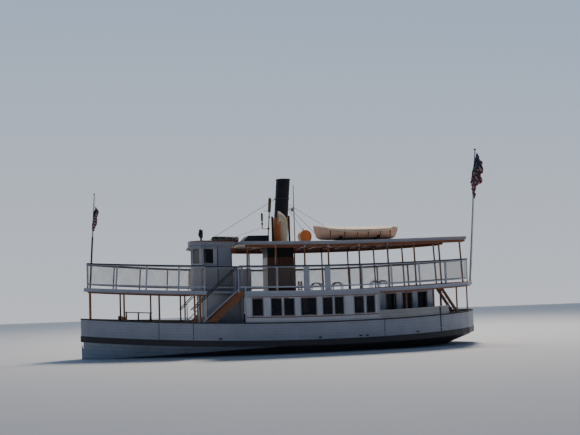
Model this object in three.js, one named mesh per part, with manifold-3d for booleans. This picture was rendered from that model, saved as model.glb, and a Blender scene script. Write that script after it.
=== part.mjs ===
// Small two-deck passenger steamboat. Millimetres, +X forward, +Y to port, +Z up.
// The origin is on the centreline amidships, at the water.
import * as THREE from 'three';
import { mergeVertices } from 'three/addons/utils/BufferGeometryUtils.js';
import Module from 'manifold-3d';

const wasm = await Module();
wasm.setup();

// Overall shape
const BOW = 8750;              // foremost point of the decks
const STERN = -8850;           // aftmost point of the decks
const STATION = 500;           // spacing of the frames that bend the decks
const HALF_BEAM = 3146;        // half breadth of the decks where they are widest
const WIDEST_X = -1500;
const BOW_TAPER = { end: 9200, power: 2.4, blunt: 230 };
const STERN_TAPER = { end: -9600, power: 3.2, blunt: 120 };
const STERN_ROUND = { from: -7500, fullness: 320 };   // how the stern's plan rounds off
const SHEER_LOW_X = -1467;     // lowest point of the decks' upward curve
const SHEER_RATE = 3.9e-6;     // rise per square millimetre away from it
const GAP = 0.3;               // play between pieces that touch
const CLEARANCE = 0.6;         // radial play of the turning shafts
const DOOR_PLAY = 8;           // play round each hung door
const ROUND_SIDES = 24;

// Heights at the lowest point of the sheer
const GUARD_BOTTOM = 321;
const GUARD_TOP = 561;
const MAIN_DECK = 620;
const BULWARK_TOP = 1240;
const CAP_TOP = 1290;
const BOARD_TOP = 1600;
const HEADROOM = 2330;         // tops of the doorways
const BEAM_BOTTOM = 2417;
const DECK_BOTTOM = 2475;
const UPPER_DECK = 2565;
const RAIL_TOP = 3585;
const ROOF_EDGE = 4450;
const ROOF_TOP = 4590;
const ROOF_ROOT = 4600;        // foot of each fitting before the roof trims it
const PILOT_ROOF_BOTTOM = 4520;
const PILOT_ROOF_TOP = 4690;

// Colours
const PAINT = {
  white: [0xd9dde2, 0.5, 0], black: [0x17181b, 0.5, 0.1], varnish: [0x8a4a1c, 0.4, 0],
  deck: [0x8f7a62, 0.8, 0], buff: [0xc9772f, 0.5, 0], cream: [0xe6d8bf, 0.6, 0],
  red: [0xa32018, 0.4, 0], green: [0x1d6b3a, 0.4, 0], bronze: [0x9a7435, 0.4, 0.9],
  iron: [0x2a2624, 0.6, 0.6], cloth: [0x7d3038, 0.9, 0],
};

const boat = new THREE.Group();

// Frames along the boat and the curves that are straight between them
const frames = [STERN];
for (let x = -8500; x <= 8500; x += STATION) frames.push(x);
frames.push(BOW);

function curve(valueAt) {
  const values = frames.map(valueAt);
  return (x) => {
    let i = 0;
    while (i < frames.length - 2 && x > frames[i + 1]) i += 1;
    const t = (x - frames[i]) / (frames[i + 1] - frames[i]);
    return values[i] + t * (values[i + 1] - values[i]);
  };
}

const sheer = curve((x) => SHEER_RATE * (x - SHEER_LOW_X) ** 2);

const halfBreadth = curve((x) => {
  if (x === BOW) return BOW_TAPER.blunt;
  if (x === STERN) return STERN_TAPER.blunt;
  const taper = x > WIDEST_X ? BOW_TAPER : STERN_TAPER;
  const t = (x - WIDEST_X) / (taper.end - WIDEST_X);
  const round = Math.max(0, (STERN_ROUND.from - x) / 1000);
  return HALF_BEAM * (1 - t ** taper.power) - STERN_ROUND.fullness * round ** 3;
});

// Joining, cutting and mirroring
function solid(geometry) {
  const bare = geometry.clone();
  bare.deleteAttribute('normal');
  bare.deleteAttribute('uv');
  const merged = mergeVertices(bare, 1e-3);
  return new wasm.Manifold(new wasm.Mesh({
    numProp: 3,
    vertProperties: new Float32Array(merged.attributes.position.array),
    triVerts: new Uint32Array(merged.index.array),
  }));
}

function geometryOf(body) {
  const mesh = body.getMesh();
  const geometry = new THREE.BufferGeometry();
  geometry.setAttribute('position', new THREE.BufferAttribute(mesh.vertProperties, 3));
  geometry.setIndex(new THREE.BufferAttribute(mesh.triVerts, 1));
  geometry.computeVertexNormals();
  return geometry;
}

function join(...parts) {
  return geometryOf(parts.map(solid).reduce((a, b) => a.add(b)));
}

function cut(part, ...tools) {
  return geometryOf(tools.map(solid).reduce((a, b) => a.subtract(b), solid(part)));
}

function mirrored(geometry) {
  const copy = geometry.clone();
  copy.scale(1, -1, 1);
  const index = copy.index.array;
  for (let i = 0; i < index.length; i += 3) [index[i], index[i + 1]] = [index[i + 1], index[i]];
  return copy;
}

const both = (geometry) => [geometry, mirrored(geometry)];

function add(name, geometry, [color, roughness, metalness]) {
  const material = new THREE.MeshStandardMaterial({ color, roughness, metalness });
  const mesh = new THREE.Mesh(geometry, material);
  mesh.name = name;
  boat.add(mesh);
  return mesh;
}

// Bodies that follow the decks' curves
function stops(from, to) {
  return [from, ...frames.filter((x) => x > from + 1 && x < to - 1), to];
}

const at = (value) => (typeof value === 'function' ? value : () => value);

function strip({ from, to, inner, outer, bottom, top }) {
  const xs = stops(from, to);
  const geometry = new THREE.BoxGeometry(1, 1, 1, xs.length - 1, 1, 1);
  const p = geometry.attributes.position;
  for (let i = 0; i < p.count; i += 1) {
    const x = xs[Math.round((p.getX(i) + 0.5) * (xs.length - 1))];
    const y = (p.getY(i) < 0 ? at(inner) : at(outer))(x);
    const z = (p.getZ(i) < 0 ? at(bottom) : at(top))(x) + sheer(x);
    p.setXYZ(i, x, y, z);
  }
  return geometry;
}

const edge = (inset) => (x) => halfBreadth(x) - inset;

function slab(inset, bottom, top, from = STERN + inset, to = BOW - inset) {
  return strip({ from, to, inner: (x) => -edge(inset)(x), outer: edge(inset), bottom, top });
}

function ring(outerInset, innerInset, bottom, top) {
  return cut(slab(outerInset, bottom, top), slab(innerInset, bottom - 100, top + 100));
}

function box(x0, x1, y0, y1, z0, z1) {
  const geometry = new THREE.BoxGeometry(x1 - x0, y1 - y0, z1 - z0);
  geometry.translate((x0 + x1) / 2, (y0 + y1) / 2, (z0 + z1) / 2);
  return geometry;
}

function onSheer(geometry) {
  const p = geometry.attributes.position;
  for (let i = 0; i < p.count; i += 1) p.setZ(i, p.getZ(i) + sheer(p.getX(i)));
  return geometry;
}

// Cuts away what of a body lies below a deck, so that it stands on it
const standing = (geometry, deckTop) => cut(geometry, slab(-400, -500, deckTop + GAP));

const deckBox = (x0, x1, y0, y1, z0, z1) => strip({
  from: x0, to: x1, inner: y0, outer: y1, bottom: z0, top: z1,
});

// A body lofted through sections: each is a list of [y, z] points at its x
function loft(sections) {
  const rings = sections.length;
  const points = sections[0].points.length;
  const geometry = new THREE.CylinderGeometry(1, 1, 1, points, rings - 1);
  const p = geometry.attributes.position;
  for (let i = 0; i < p.count; i += 1) {
    const ringIndex = Math.round((0.5 - p.getY(i)) * (rings - 1));
    const { x, points: section } = sections[ringIndex];
    const radius = Math.hypot(p.getX(i), p.getZ(i));
    const turn = Math.atan2(p.getX(i), p.getZ(i)) / (2 * Math.PI);
    const pointIndex = ((Math.round(turn * points) % points) + points) % points;
    const centre = section.reduce((s, q) => [s[0] + q[0] / points, s[1] + q[1] / points], [0, 0]);
    const [y, z] = radius < 0.5 ? centre : section[pointIndex];
    p.setXYZ(i, x, y, z);
  }
  return geometry;
}

// Upright, level and slanting round bars
function bar(start, end, radius, topRadius = radius, sides = 12) {
  const a = new THREE.Vector3(...start);
  const b = new THREE.Vector3(...end);
  const geometry = new THREE.CylinderGeometry(topRadius, radius, a.distanceTo(b), sides);
  const up = new THREE.Vector3(0, 1, 0);
  const turn = new THREE.Quaternion().setFromUnitVectors(up, b.clone().sub(a).normalize());
  geometry.applyQuaternion(turn);
  geometry.translate((a.x + b.x) / 2, (a.y + b.y) / 2, (a.z + b.z) / 2);
  return geometry;
}

// A square post from one point to another, square to the boat's side
function post(start, end, along, across) {
  const geometry = new THREE.BoxGeometry(along, across, 1);
  const p = geometry.attributes.position;
  for (let i = 0; i < p.count; i += 1) {
    const [x, y, z] = p.getZ(i) < 0 ? start : end;
    p.setXYZ(i, p.getX(i) + x, p.getY(i) + y, z);
  }
  return geometry;
}

// An upright plate drawn in the XZ plane, with its thickness across the boat
function plate(points, y0, y1) {
  const shape = new THREE.Shape(points.map(([x, z]) => new THREE.Vector2(x, z)));
  const geometry = new THREE.ExtrudeGeometry(shape, { depth: y1 - y0, bevelEnabled: false });
  geometry.rotateX(Math.PI / 2);
  geometry.translate(0, y1, 0);
  return mergeVertices(geometry);
}

// A level plate drawn in the XY plane
function level(points, z0, z1) {
  const shape = new THREE.Shape(points.map(([x, y]) => new THREE.Vector2(x, y)));
  const geometry = new THREE.ExtrudeGeometry(shape, { depth: z1 - z0, bevelEnabled: false });
  geometry.translate(0, 0, z0);
  return mergeVertices(geometry);
}

function turned(profile, sides = 24) {
  const geometry = new THREE.LatheGeometry(profile.map(([r, z]) => new THREE.Vector2(r, z)), sides);
  geometry.rotateX(Math.PI / 2);
  return geometry;
}

// Hull: timber body below the guard, keel, stem, sternpost and the shoe under the rudder
const KEEL_HALF = 70;
const KEEL_BOTTOM = -1600;
const SHAFT_Z = -880;
const SHAFT_RADIUS = 45;
const STOCK_X = -7425;
const STOCK_RADIUS = 45;
// columns: x, half breadths at 0, 0.3, 0.62 and 0.86 of the depth, and the body's lowest point
const HULL_SECTIONS = [
  [-8500, 620, 520, 360, 200, 330],
  [-8000, 1080, 900, 640, 320, 170],
  [-7400, 1480, 1220, 820, 380, -50],
  [-6800, 1720, 1420, 900, 380, -260],
  [-6000, 1940, 1600, 960, 370, -620],
  [-5000, 2110, 1790, 1080, 400, -1080],
  [-4000, 2210, 1940, 1240, 480, -1380],
  [-2000, 2290, 2090, 1480, 640, -1450],
  [0, 2290, 2100, 1520, 680, -1450],
  [2000, 2180, 1950, 1340, 560, -1450],
  [4000, 1870, 1600, 1010, 400, -1450],
  [5500, 1480, 1210, 720, 280, -1450],
  [7000, 930, 720, 400, 170, -1450],
  [8000, 450, 340, 200, 110, -1440],
  [8640, 90, 84, 80, 76, -1380],
];
const DEPTH_SHARES = [0, 0.3, 0.62, 0.86];
const hullBody = loft(HULL_SECTIONS.map(([x, ...row]) => {
  const bottom = row.pop();
  const top = GUARD_BOTTOM + sheer(x) - GAP;
  const side = row.map((half, i) => [half, top + DEPTH_SHARES[i] * (bottom - top)]);
  side.push([KEEL_HALF, bottom]);
  return { x, points: [...side, ...side.map(([y, z]) => [-y, z]).reverse()] };
}));
const keelLine = plate([
  [8600, 300], [8710, 640], [8710, -1250], [8560, -1480], [8250, KEEL_BOTTOM],
  [-7540, KEEL_BOTTOM], [-7540, -1470], [-6650, -1470], [-6650, -100], [0, -100],
], -KEEL_HALF, KEEL_HALF);
const RUDDER_POST = { aft: -7350, fore: -7230, bottom: -1520, top: 60 };
const rudderPost = box(RUDDER_POST.aft, RUDDER_POST.fore, -KEEL_HALF, KEEL_HALF,
  RUDDER_POST.bottom, RUDDER_POST.top);
const STERN_TUBE = { aft: -6700, fore: -5200, radius: 115, boreEnd: -6350 };
const sternTube = bar([STERN_TUBE.aft, 0, SHAFT_Z], [STERN_TUBE.fore, 0, SHAFT_Z],
  STERN_TUBE.radius, STERN_TUBE.radius, 16);
const shaftBore = bar([STERN_TUBE.aft - 100, 0, SHAFT_Z], [STERN_TUBE.boreEnd, 0, SHAFT_Z],
  SHAFT_RADIUS + CLEARANCE, SHAFT_RADIUS + CLEARANCE, ROUND_SIDES);
const stockBore = bar([STOCK_X, 0, -300], [STOCK_X, 0, 330],
  STOCK_RADIUS + CLEARANCE, STOCK_RADIUS + CLEARANCE, ROUND_SIDES);
const aboveHull = slab(-400, GUARD_BOTTOM - GAP, 2000);
add('hull', cut(join(hullBody, keelLine, rudderPost, sternTube), shaftBore, stockBore, aboveHull),
  PAINT.white);

// Rudder on its stock
const rudderBlade = plate([
  [-7400, -1400], [-8130, -1400], [-8250, -1280], [-8250, -420], [-8130, -260], [-7400, -200],
], -28, 28);
const rudderStock = bar([STOCK_X, 0, -1464], [STOCK_X, 0, 300], STOCK_RADIUS, STOCK_RADIUS,
  ROUND_SIDES);
add('rudder', join(rudderBlade, rudderStock), PAINT.black);

// Propeller with its shaft end
const PROP_X = -6950;
const PROP_RADIUS = 540;
const blade = level([[-70, 60], [-150, 300], [-120, 470], [0, PROP_RADIUS], [110, 470],
  [150, 300], [70, 60]], -14, 14);
const BLADE_PITCH = 58;
const blades = [0, 1, 2, 3].map((i) => {
  const g = blade.clone();
  g.rotateY(THREE.MathUtils.degToRad(BLADE_PITCH));
  g.rotateX((i * Math.PI) / 2);
  g.translate(PROP_X, 0, SHAFT_Z);
  return g;
});
const hub = bar([PROP_X - 150, 0, SHAFT_Z], [PROP_X + 130, 0, SHAFT_Z], 105, 105, 16);
const shaft = bar([PROP_X, 0, SHAFT_Z], [STERN_TUBE.boreEnd - 50, 0, SHAFT_Z], SHAFT_RADIUS,
  SHAFT_RADIUS, ROUND_SIDES);
add('propeller', join(hub, shaft, ...blades), PAINT.bronze);

// Guard, main deck and bulwark
const BULWARK = { outer: 20, inner: 80 };
const CAP_WIDTH = 110;
add('guard', slab(0, GUARD_BOTTOM, GUARD_TOP), PAINT.black);
add('main_deck', slab(BULWARK.inner + GAP, GUARD_TOP + GAP, MAIN_DECK), PAINT.deck);
add('bulwark', ring(BULWARK.outer, BULWARK.inner, GUARD_TOP + GAP, BULWARK_TOP), PAINT.white);
add('bulwark_cap', ring(0, CAP_WIDTH, BULWARK_TOP + GAP, CAP_TOP), PAINT.black);

// Raised boards along the aft side decks
const HOUSE_AFT = -3360;
const HOUSE_FORE = 2280;
const BOARD_AFT = -6730;
const BOARD_CAP = 40;
const boards = join(
  strip({ from: BOARD_AFT, to: HOUSE_AFT - 1, inner: edge(75), outer: edge(30),
    bottom: CAP_TOP + GAP, top: BOARD_TOP }),
  strip({ from: BOARD_AFT, to: HOUSE_AFT - 1, inner: edge(100), outer: edge(10),
    bottom: BOARD_TOP - 5, top: BOARD_TOP + BOARD_CAP }),
);
add('aft_boards_port', boards, PAINT.white);
add('aft_boards_starboard', mirrored(boards), PAINT.white);

// Deckhouse flush with the boat's side, its walls pierced by windows
const WALL_OUT = 30;
const WALL_IN = 90;
const WINDOW_BOTTOM = 1560;
const WINDOW_TOP = 2270;
// columns: forward edge and aft edge of each side window
const HOUSE_WINDOWS = [
  [2000, 1560], [1240, 800], [710, 280], [10, -640], [-900, -1320], [-1410, -1800],
  [-2250, -2670], [-2780, -3150],
];
const sideWall = strip({ from: HOUSE_AFT, to: HOUSE_FORE, inner: edge(WALL_IN),
  outer: edge(WALL_OUT), bottom: CAP_TOP + GAP, top: BEAM_BOTTOM - GAP });
const sideWindows = HOUSE_WINDOWS.map(([fore, aft]) => deckBox(aft, fore, 2000, 3400,
  WINDOW_BOTTOM, WINDOW_TOP));
const sideWallCut = cut(sideWall, ...sideWindows);

const WALL_HALF = 30;
function crossWall(x, doors) {
  const low = slab(CAP_WIDTH + 2 * GAP, MAIN_DECK + GAP, CAP_TOP + GAP + 50, x - WALL_HALF,
    x + WALL_HALF);
  const high = slab(60, CAP_TOP + GAP, BEAM_BOTTOM - GAP, x - WALL_HALF, x + WALL_HALF);
  return cut(join(low, high), ...doors);
}

const doorway = (x, y0, y1) => deckBox(x - 80, x + 80, y0, y1, MAIN_DECK - 50, HEADROOM);
const SIDE_DECK = { inner: 2150, outer: 2900 };
const sideDeckWay = (x) => both(doorway(x, SIDE_DECK.inner, SIDE_DECK.outer));
const foreWall = crossWall(HOUSE_FORE - WALL_HALF, [
  doorway(HOUSE_FORE - WALL_HALF, -1400, 1400), ...sideDeckWay(HOUSE_FORE - WALL_HALF)]);
const aftWall = crossWall(HOUSE_AFT + WALL_HALF, [doorway(HOUSE_AFT + WALL_HALF, -1900, 1900)]);
add('deckhouse', join(...both(sideWallCut), foreWall, aftWall), PAINT.white);

// Narrow cabin ahead of the deckhouse, between the stairs
const FORE_CABIN = { aft: 2281, fore: 3650, half: 1500, wall: 50 };
function cabin({ aft, fore, half, wall }, openings) {
  const outer = deckBox(aft, fore, -half, half, MAIN_DECK + GAP, DECK_BOTTOM - GAP);
  const inner = deckBox(aft + wall, fore - wall, wall - half, half - wall, 0, 3000);
  return cut(outer, inner, ...openings);
}
const CABIN_DOOR = { half: 350, bottom: 660, top: HEADROOM, thickness: 40 };
const cabinDoorway = (x0, x1) => deckBox(x0, x1, -CABIN_DOOR.half - DOOR_PLAY,
  CABIN_DOOR.half + DOOR_PLAY, CABIN_DOOR.bottom - DOOR_PLAY, CABIN_DOOR.top + DOOR_PLAY);
add('fore_cabin', cabin(FORE_CABIN, [
  cabinDoorway(FORE_CABIN.fore - 150, FORE_CABIN.fore + 150),
  deckBox(2000, 2500, -1300, 1300, MAIN_DECK - 50, HEADROOM),
]), PAINT.white);

// Saloon inside the aft side decks
const SALOON = { aft: -6200, fore: HOUSE_AFT - 1, half: 2080, wall: 50 };
// columns: forward edge and aft edge of each saloon window
const SALOON_WINDOWS = [[-3990, -4450], [-4740, -5180], [-5430, -5860]];
const SALOON_SILL = 1450;
const SALOON_HEAD = 2300;
add('aft_saloon', cabin(SALOON, [
  ...SALOON_WINDOWS.map(([fore, aft]) => deckBox(aft, fore, -2300, 2300, SALOON_SILL,
    SALOON_HEAD)),
  cabinDoorway(SALOON.aft - 200, SALOON.aft + 100),
  deckBox(HOUSE_AFT - 80, HOUSE_AFT + 50, -1850, 1850, MAIN_DECK - 50, HEADROOM),
]), PAINT.white);

// Doors of the two cabins, hung on their starboard edges
const cabinDoor = (x) => deckBox(x - CABIN_DOOR.thickness / 2, x + CABIN_DOOR.thickness / 2,
  -CABIN_DOOR.half - DOOR_PLAY + GAP, CABIN_DOOR.half, CABIN_DOOR.bottom, CABIN_DOOR.top);
const DOOR_INSET = 22;
add('fore_cabin_door', cabinDoor(FORE_CABIN.fore - DOOR_INSET), PAINT.varnish);
add('saloon_door', cabinDoor(SALOON.aft + DOOR_INSET), PAINT.varnish);

// Upper deck with notches for the side stairs and a hatch for the aft ladder
const NOTCH = { aft: 2290, fore: 3800, depth: 900 };
const LADDER = { aft: -7480, fore: -6650, inner: 700, outer: 1300 };
const notchBox = strip({ from: NOTCH.aft, to: NOTCH.fore, inner: edge(NOTCH.depth),
  outer: edge(-300), bottom: 2000, top: 3000 });
const hatchBox = deckBox(LADDER.aft, LADDER.fore, LADDER.inner, LADDER.outer, 2000, 3000);
const DECK_FORE = 8590;
const deckEdge = cut(slab(0, BEAM_BOTTOM, DECK_BOTTOM + 10, STERN, DECK_FORE),
  slab(100, 2000, 3000, STERN + 100, DECK_FORE - 100));
add('upper_deck', cut(join(slab(0, DECK_BOTTOM, UPPER_DECK, STERN, DECK_FORE), deckEdge), ...both(notchBox),
  hatchBox), PAINT.white);

// Varnished posts between the bulwark and the upper deck, tied by a header
const HEADER = { bottom: 2360, inner: 90, outer: 30 };
const FORE_POSTS = [8340, 7020, 5650, 4270, 4060];
const AFT_POSTS = [-4590, -5940, -7250, -7950];
const POST_HALF = 35;
function arcade(from, to, posts, footAt) {
  const header = strip({ from, to, inner: edge(HEADER.inner), outer: edge(HEADER.outer),
    bottom: HEADER.bottom, top: BEAM_BOTTOM - GAP });
  const uprights = posts.map((x) => strip({ from: x - POST_HALF, to: x + POST_HALF,
    inner: edge(HEADER.inner), outer: edge(HEADER.outer), bottom: footAt(x),
    top: HEADER.bottom + 5 }));
  return join(header, ...uprights);
}
const endBeam = (x) => slab(35, HEADER.bottom, BEAM_BOTTOM - GAP, x - 40, x + 40);
const ARCADE = { fore: 8400, stairs: 3810, aft: -8400 };
const foreSide = arcade(ARCADE.stairs, ARCADE.fore, FORE_POSTS, () => CAP_TOP + GAP);
add('fore_posts', join(...both(foreSide), endBeam(ARCADE.fore)), PAINT.varnish);
const aftFoot = (x) => (x > BOARD_AFT ? BOARD_TOP + BOARD_CAP : CAP_TOP) + GAP;
const aftSide = arcade(ARCADE.aft, HOUSE_AFT - 1, AFT_POSTS, aftFoot);
add('aft_posts', join(...both(aftSide), endBeam(ARCADE.aft)), PAINT.varnish);

// Side stairs from the main deck up to the notches
const STAIR = { topX: NOTCH.aft + GAP, topZ: UPPER_DECK + 10, footX: 4370, inner: 870, outer: 137,
  thickness: 40, splay: 0.28 };
const stairFootZ = MAIN_DECK + sheer(STAIR.footX) - 8;
const stairTopZ = STAIR.topZ + sheer(STAIR.topX) - 20;
const stairY = (inset) => halfBreadth(STAIR.footX) - inset;
function stringer(y) {
  return plate([
    [STAIR.footX, stairFootZ], [STAIR.footX, stairFootZ + 60], [STAIR.topX + 240, stairTopZ],
    [STAIR.topX, stairTopZ], [STAIR.topX, stairTopZ - 180], [STAIR.footX - 260, stairFootZ],
  ], y, y + STAIR.thickness);
}
const TREADS = 9;
const treads = [...Array(TREADS).keys()].map((i) => {
  const t = (i + 0.6) / TREADS;
  const x = STAIR.topX + 90 + t * (STAIR.footX - STAIR.topX - 120);
  const z = stairTopZ - 30 - t * (stairTopZ - stairFootZ - 20);
  return box(x - 110, x + 90, stairY(STAIR.inner) + 10, stairY(STAIR.outer) - 10, z - 30, z);
});
// columns: x and height of the handrail's head, of the newel's top and of its lower end
const HANDRAIL = [[2510, 3615], [4065, 2163], [4330, 1905]];
const HANDRAIL_RADIUS = 22;
const handrails = [STAIR.outer, STAIR.inner].flatMap((inset) => {
  const y = stairY(inset) + (inset === STAIR.outer ? 0 : 20);
  const [head, knee, end] = HANDRAIL.map(([x, z]) => [x, y, z]);
  const round = (a, b) => bar(a, b, HANDRAIL_RADIUS, HANDRAIL_RADIUS, 8);
  return [round(end, knee), round(knee, head), round([knee[0], y, stairFootZ + 300], knee),
    round([head[0], y, stairTopZ - 60], head)];
});
const stair = join(stringer(stairY(STAIR.inner)),
  stringer(stairY(STAIR.outer) - STAIR.thickness), ...treads, ...handrails);
const stairPoints = stair.attributes.position;
for (let i = 0; i < stairPoints.count; i += 1) {
  stairPoints.setY(i, stairPoints.getY(i) + STAIR.splay * (STAIR.footX - stairPoints.getX(i)));
}
const stairPort = standing(stair, MAIN_DECK);
add('stair_port', stairPort, PAINT.varnish);
add('stair_starboard', mirrored(stairPort), PAINT.varnish);

// Steep ladder from the aft end of the main deck
const LADDER_SIDE = { head: -6690, foot: -7900, depth: 150, thickness: 35, rungs: 8 };
const ladderTop = UPPER_DECK + sheer(LADDER_SIDE.head) - 20;
const ladderFoot = MAIN_DECK + sheer(LADDER_SIDE.foot) - 10;
const ladderSide = (y) => plate([
  [LADDER_SIDE.head, ladderTop], [LADDER_SIDE.head - LADDER_SIDE.depth, ladderTop],
  [LADDER_SIDE.foot - LADDER_SIDE.depth, ladderFoot], [LADDER_SIDE.foot, ladderFoot],
], y, y + LADDER_SIDE.thickness);
const sideIn = LADDER.inner + 10;
const sideOut = LADDER.outer - 10 - LADDER_SIDE.thickness;
const rungs = [...Array(LADDER_SIDE.rungs).keys()].map((i) => {
  const t = (i + 0.7) / (LADDER_SIDE.rungs + 0.6);
  const x = LADDER_SIDE.head - LADDER_SIDE.depth / 2 - t * (LADDER_SIDE.head - LADDER_SIDE.foot);
  const z = ladderTop - t * (ladderTop - ladderFoot);
  return box(x - 80, x + 80, sideIn + 15, sideOut + 20, z - 14, z + 14);
});
add('aft_ladder', standing(join(ladderSide(sideIn), ladderSide(sideOut), ...rungs), MAIN_DECK),
  PAINT.varnish);

// Upper rail: posts, top rail and bottom rail round the deck edge and the notches
const RAIL = { out: 40, in: 95, topHeight: 70, lowBottom: UPPER_DECK + 130, lowHeight: 60 };
// columns: x of the post, its width along the boat
const RAIL_POSTS = [
  [7290, 60], [6120, 60], [4860, 60], [3850, 40], [950, 60], [-270, 230],
  [-1160, 230], [-2640, 60], [-3960, 60], [-5280, 60], [-6660, 60],
];
const RAIL_AFT = -8100;
const RAIL_FORE = 8400;
const RAIL_STAIR_END = 2480;

function railRun(from, to, inner, outer) {
  return [
    strip({ from, to, inner, outer, bottom: RAIL_TOP - RAIL.topHeight, top: RAIL_TOP }),
    strip({ from, to, inner, outer, bottom: RAIL.lowBottom, top: RAIL.lowBottom + RAIL.lowHeight }),
  ];
}

const lean = (x, height) => -2 * SHEER_RATE * (x - SHEER_LOW_X) * height;

function railPost(x, width, inset = RAIL.out) {
  const shift = lean(x, RAIL_TOP - UPPER_DECK);
  const foot = x - shift / 2;
  const geometry = strip({ from: foot - width / 2, to: foot + width / 2, inner: edge(inset + 55),
    outer: edge(inset), bottom: UPPER_DECK + GAP, top: RAIL_TOP - 5 });
  const p = geometry.attributes.position;
  for (let i = 0; i < p.count; i += 1) {
    if (p.getZ(i) - sheer(x) > (UPPER_DECK + RAIL_TOP) / 2) p.setX(i, p.getX(i) + shift);
  }
  return geometry;
}

const notchRailInset = NOTCH.depth + 40;
const sideRail = join(
  ...railRun(NOTCH.fore + 20, RAIL_FORE, edge(RAIL.in), edge(RAIL.out)),
  ...railRun(NOTCH.aft - 78, NOTCH.fore + 80, edge(notchRailInset + 55), edge(notchRailInset)),
  ...railRun(NOTCH.fore + 20, NOTCH.fore + 80, edge(notchRailInset + 55), edge(RAIL.out)),
  ...railRun(RAIL_AFT, RAIL_STAIR_END, edge(RAIL.in), edge(RAIL.out)),
  ...railRun(NOTCH.aft - 78, NOTCH.aft - 20, edge(notchRailInset + 55), edge(RAIL.out + 760)),
  ...RAIL_POSTS.map(([x, width]) => railPost(x, width)),
  railPost(NOTCH.aft - 49, 58, RAIL.out + 760),
  railPost(NOTCH.fore + 50, 60, notchRailInset),
  strip({ from: NOTCH.aft - 78, to: NOTCH.aft - 20, inner: edge(RAIL.in), outer: edge(RAIL.out),
    bottom: UPPER_DECK + GAP, top: RAIL.lowBottom + 10 }),
);
const railLink = strip({ from: NOTCH.aft - 78, to: NOTCH.aft - 20, inner: edge(RAIL.in + 800),
  outer: edge(RAIL.out), bottom: RAIL.lowBottom - 130 + GAP, top: RAIL.lowBottom - 100 });
const railPort = join(sideRail, railLink);
add('rail_port', railPort, PAINT.white);
add('rail_starboard', mirrored(railPort), PAINT.white);

function endRail(x, inset) {
  const ends = [[RAIL_TOP - RAIL.topHeight, RAIL_TOP],
    [RAIL.lowBottom, RAIL.lowBottom + RAIL.lowHeight]];
  const bars = ends.map(([z0, z1]) => slab(inset, z0, z1, x - 28, x + 28));
  const posts = both(strip({ from: x - 28, to: x + 28, inner: edge(inset + 60), outer: edge(inset),
    bottom: UPPER_DECK + GAP, top: RAIL_TOP }));
  return join(...bars, ...posts);
}
add('rail_bow', endRail(RAIL_FORE + 30, 97), PAINT.white);
add('rail_stern', endRail(RAIL_AFT - 30, 97), PAINT.white);

// Canopy over the upper deck, cambered across the boat, with a deep edge
const CANOPY = { fore: 2200, aft: -8100, camber: 90, thickness: 45, edge: 230 };
function canopySection(x, half, top, bottom, camber) {
  const steps = [-1, -0.66, -0.33, 0, 0.33, 0.66, 1];
  const lift = (t) => camber * (1 - t * t) + sheer(x);
  const upper = steps.map((t) => [t * half, top + lift(t)]);
  const lower = steps.map((t) => [t * half, bottom + lift(t)]).reverse();
  return { x, points: [...upper.reverse(), ...lower.reverse()] };
}
const canopyBody = (inset, top, bottom, aft, fore) => loft(
  stops(aft, fore).map((x) => canopySection(x, edge(inset)(x), top, bottom, CANOPY.camber))
    .reverse(),
);
const canopyShell = cut(
  canopyBody(0, ROOF_TOP, ROOF_EDGE, CANOPY.aft, CANOPY.fore),
  canopyBody(CANOPY.edge, ROOF_TOP - CANOPY.thickness, ROOF_EDGE - 300,
    CANOPY.aft + CANOPY.edge, CANOPY.fore - CANOPY.edge),
);
add('canopy', canopyShell, PAINT.white);

// Canopy posts, each leaning square to the sheer
const CANOPY_POSTS = [2160, 985, -230, -1250, -2600, -3885, -5150, -6460, -7780];
const canopyFrame = join(
  strip({ from: CANOPY.aft + 40, to: CANOPY.fore - 20, inner: edge(RAIL.in + 110),
    outer: edge(RAIL.in + 40), bottom: ROOF_EDGE - 90, top: ROOF_EDGE + 40 }),
  ...CANOPY_POSTS.map((x) => {
    const y = halfBreadth(x) - RAIL.in - 75;
    const top = ROOF_EDGE - 50;
    return post([x, y, UPPER_DECK + sheer(x) - 20], [x + lean(x, top - UPPER_DECK), y,
      top + sheer(x)], 60, 60);
  }),
);
const canopyAbove = canopyBody(0, 6000, ROOF_EDGE - GAP, CANOPY.aft, CANOPY.fore);
const underCanopy = (geometry) => standing(cut(geometry, canopyAbove), UPPER_DECK);
add('canopy_posts_port', underCanopy(canopyFrame), PAINT.varnish);
add('canopy_posts_starboard', underCanopy(mirrored(canopyFrame)), PAINT.varnish);

// Pilot house: hollow, with a many-sided front and windows all round
const PILOT = { aft: 2450, shoulder: 3730, nose: 4030, half: 1050, noseHalf: 290, wall: 50 };
const PILOT_WINDOW = { sill: 3740, head: 4370, sideAft: 3250, sideFore: 3660, inner: 25,
  outer: 250, quarter: 540, quarterShift: 90 };
function pilotPlan(grow) {
  return [
    [PILOT.aft - grow, -PILOT.half - grow], [PILOT.shoulder + grow * 0.4, -PILOT.half - grow],
    [PILOT.nose + grow, -PILOT.noseHalf - grow * 0.4], [PILOT.nose + grow,
      PILOT.noseHalf + grow * 0.4],
    [PILOT.shoulder + grow * 0.4, PILOT.half + grow], [PILOT.aft - grow, PILOT.half + grow],
  ];
}
const PILOT_DOOR = { aft: 2510, fore: 3050, bottom: 2600, top: 4440 };
const pilotCuts = [
  ...both(onSheer(box(PILOT_WINDOW.sideAft, PILOT_WINDOW.sideFore, 900, 1200,
    PILOT_WINDOW.sill, PILOT_WINDOW.head))),
  ...both(onSheer(box(3900, 4300, PILOT_WINDOW.inner, PILOT_WINDOW.outer, PILOT_WINDOW.sill,
    PILOT_WINDOW.head))),
  ...both(onSheer(box(PILOT_DOOR.aft - DOOR_PLAY, PILOT_DOOR.fore + GAP, 900, 1200,
    PILOT_DOOR.bottom - DOOR_PLAY, PILOT_DOOR.top + DOOR_PLAY))),
];
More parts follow.
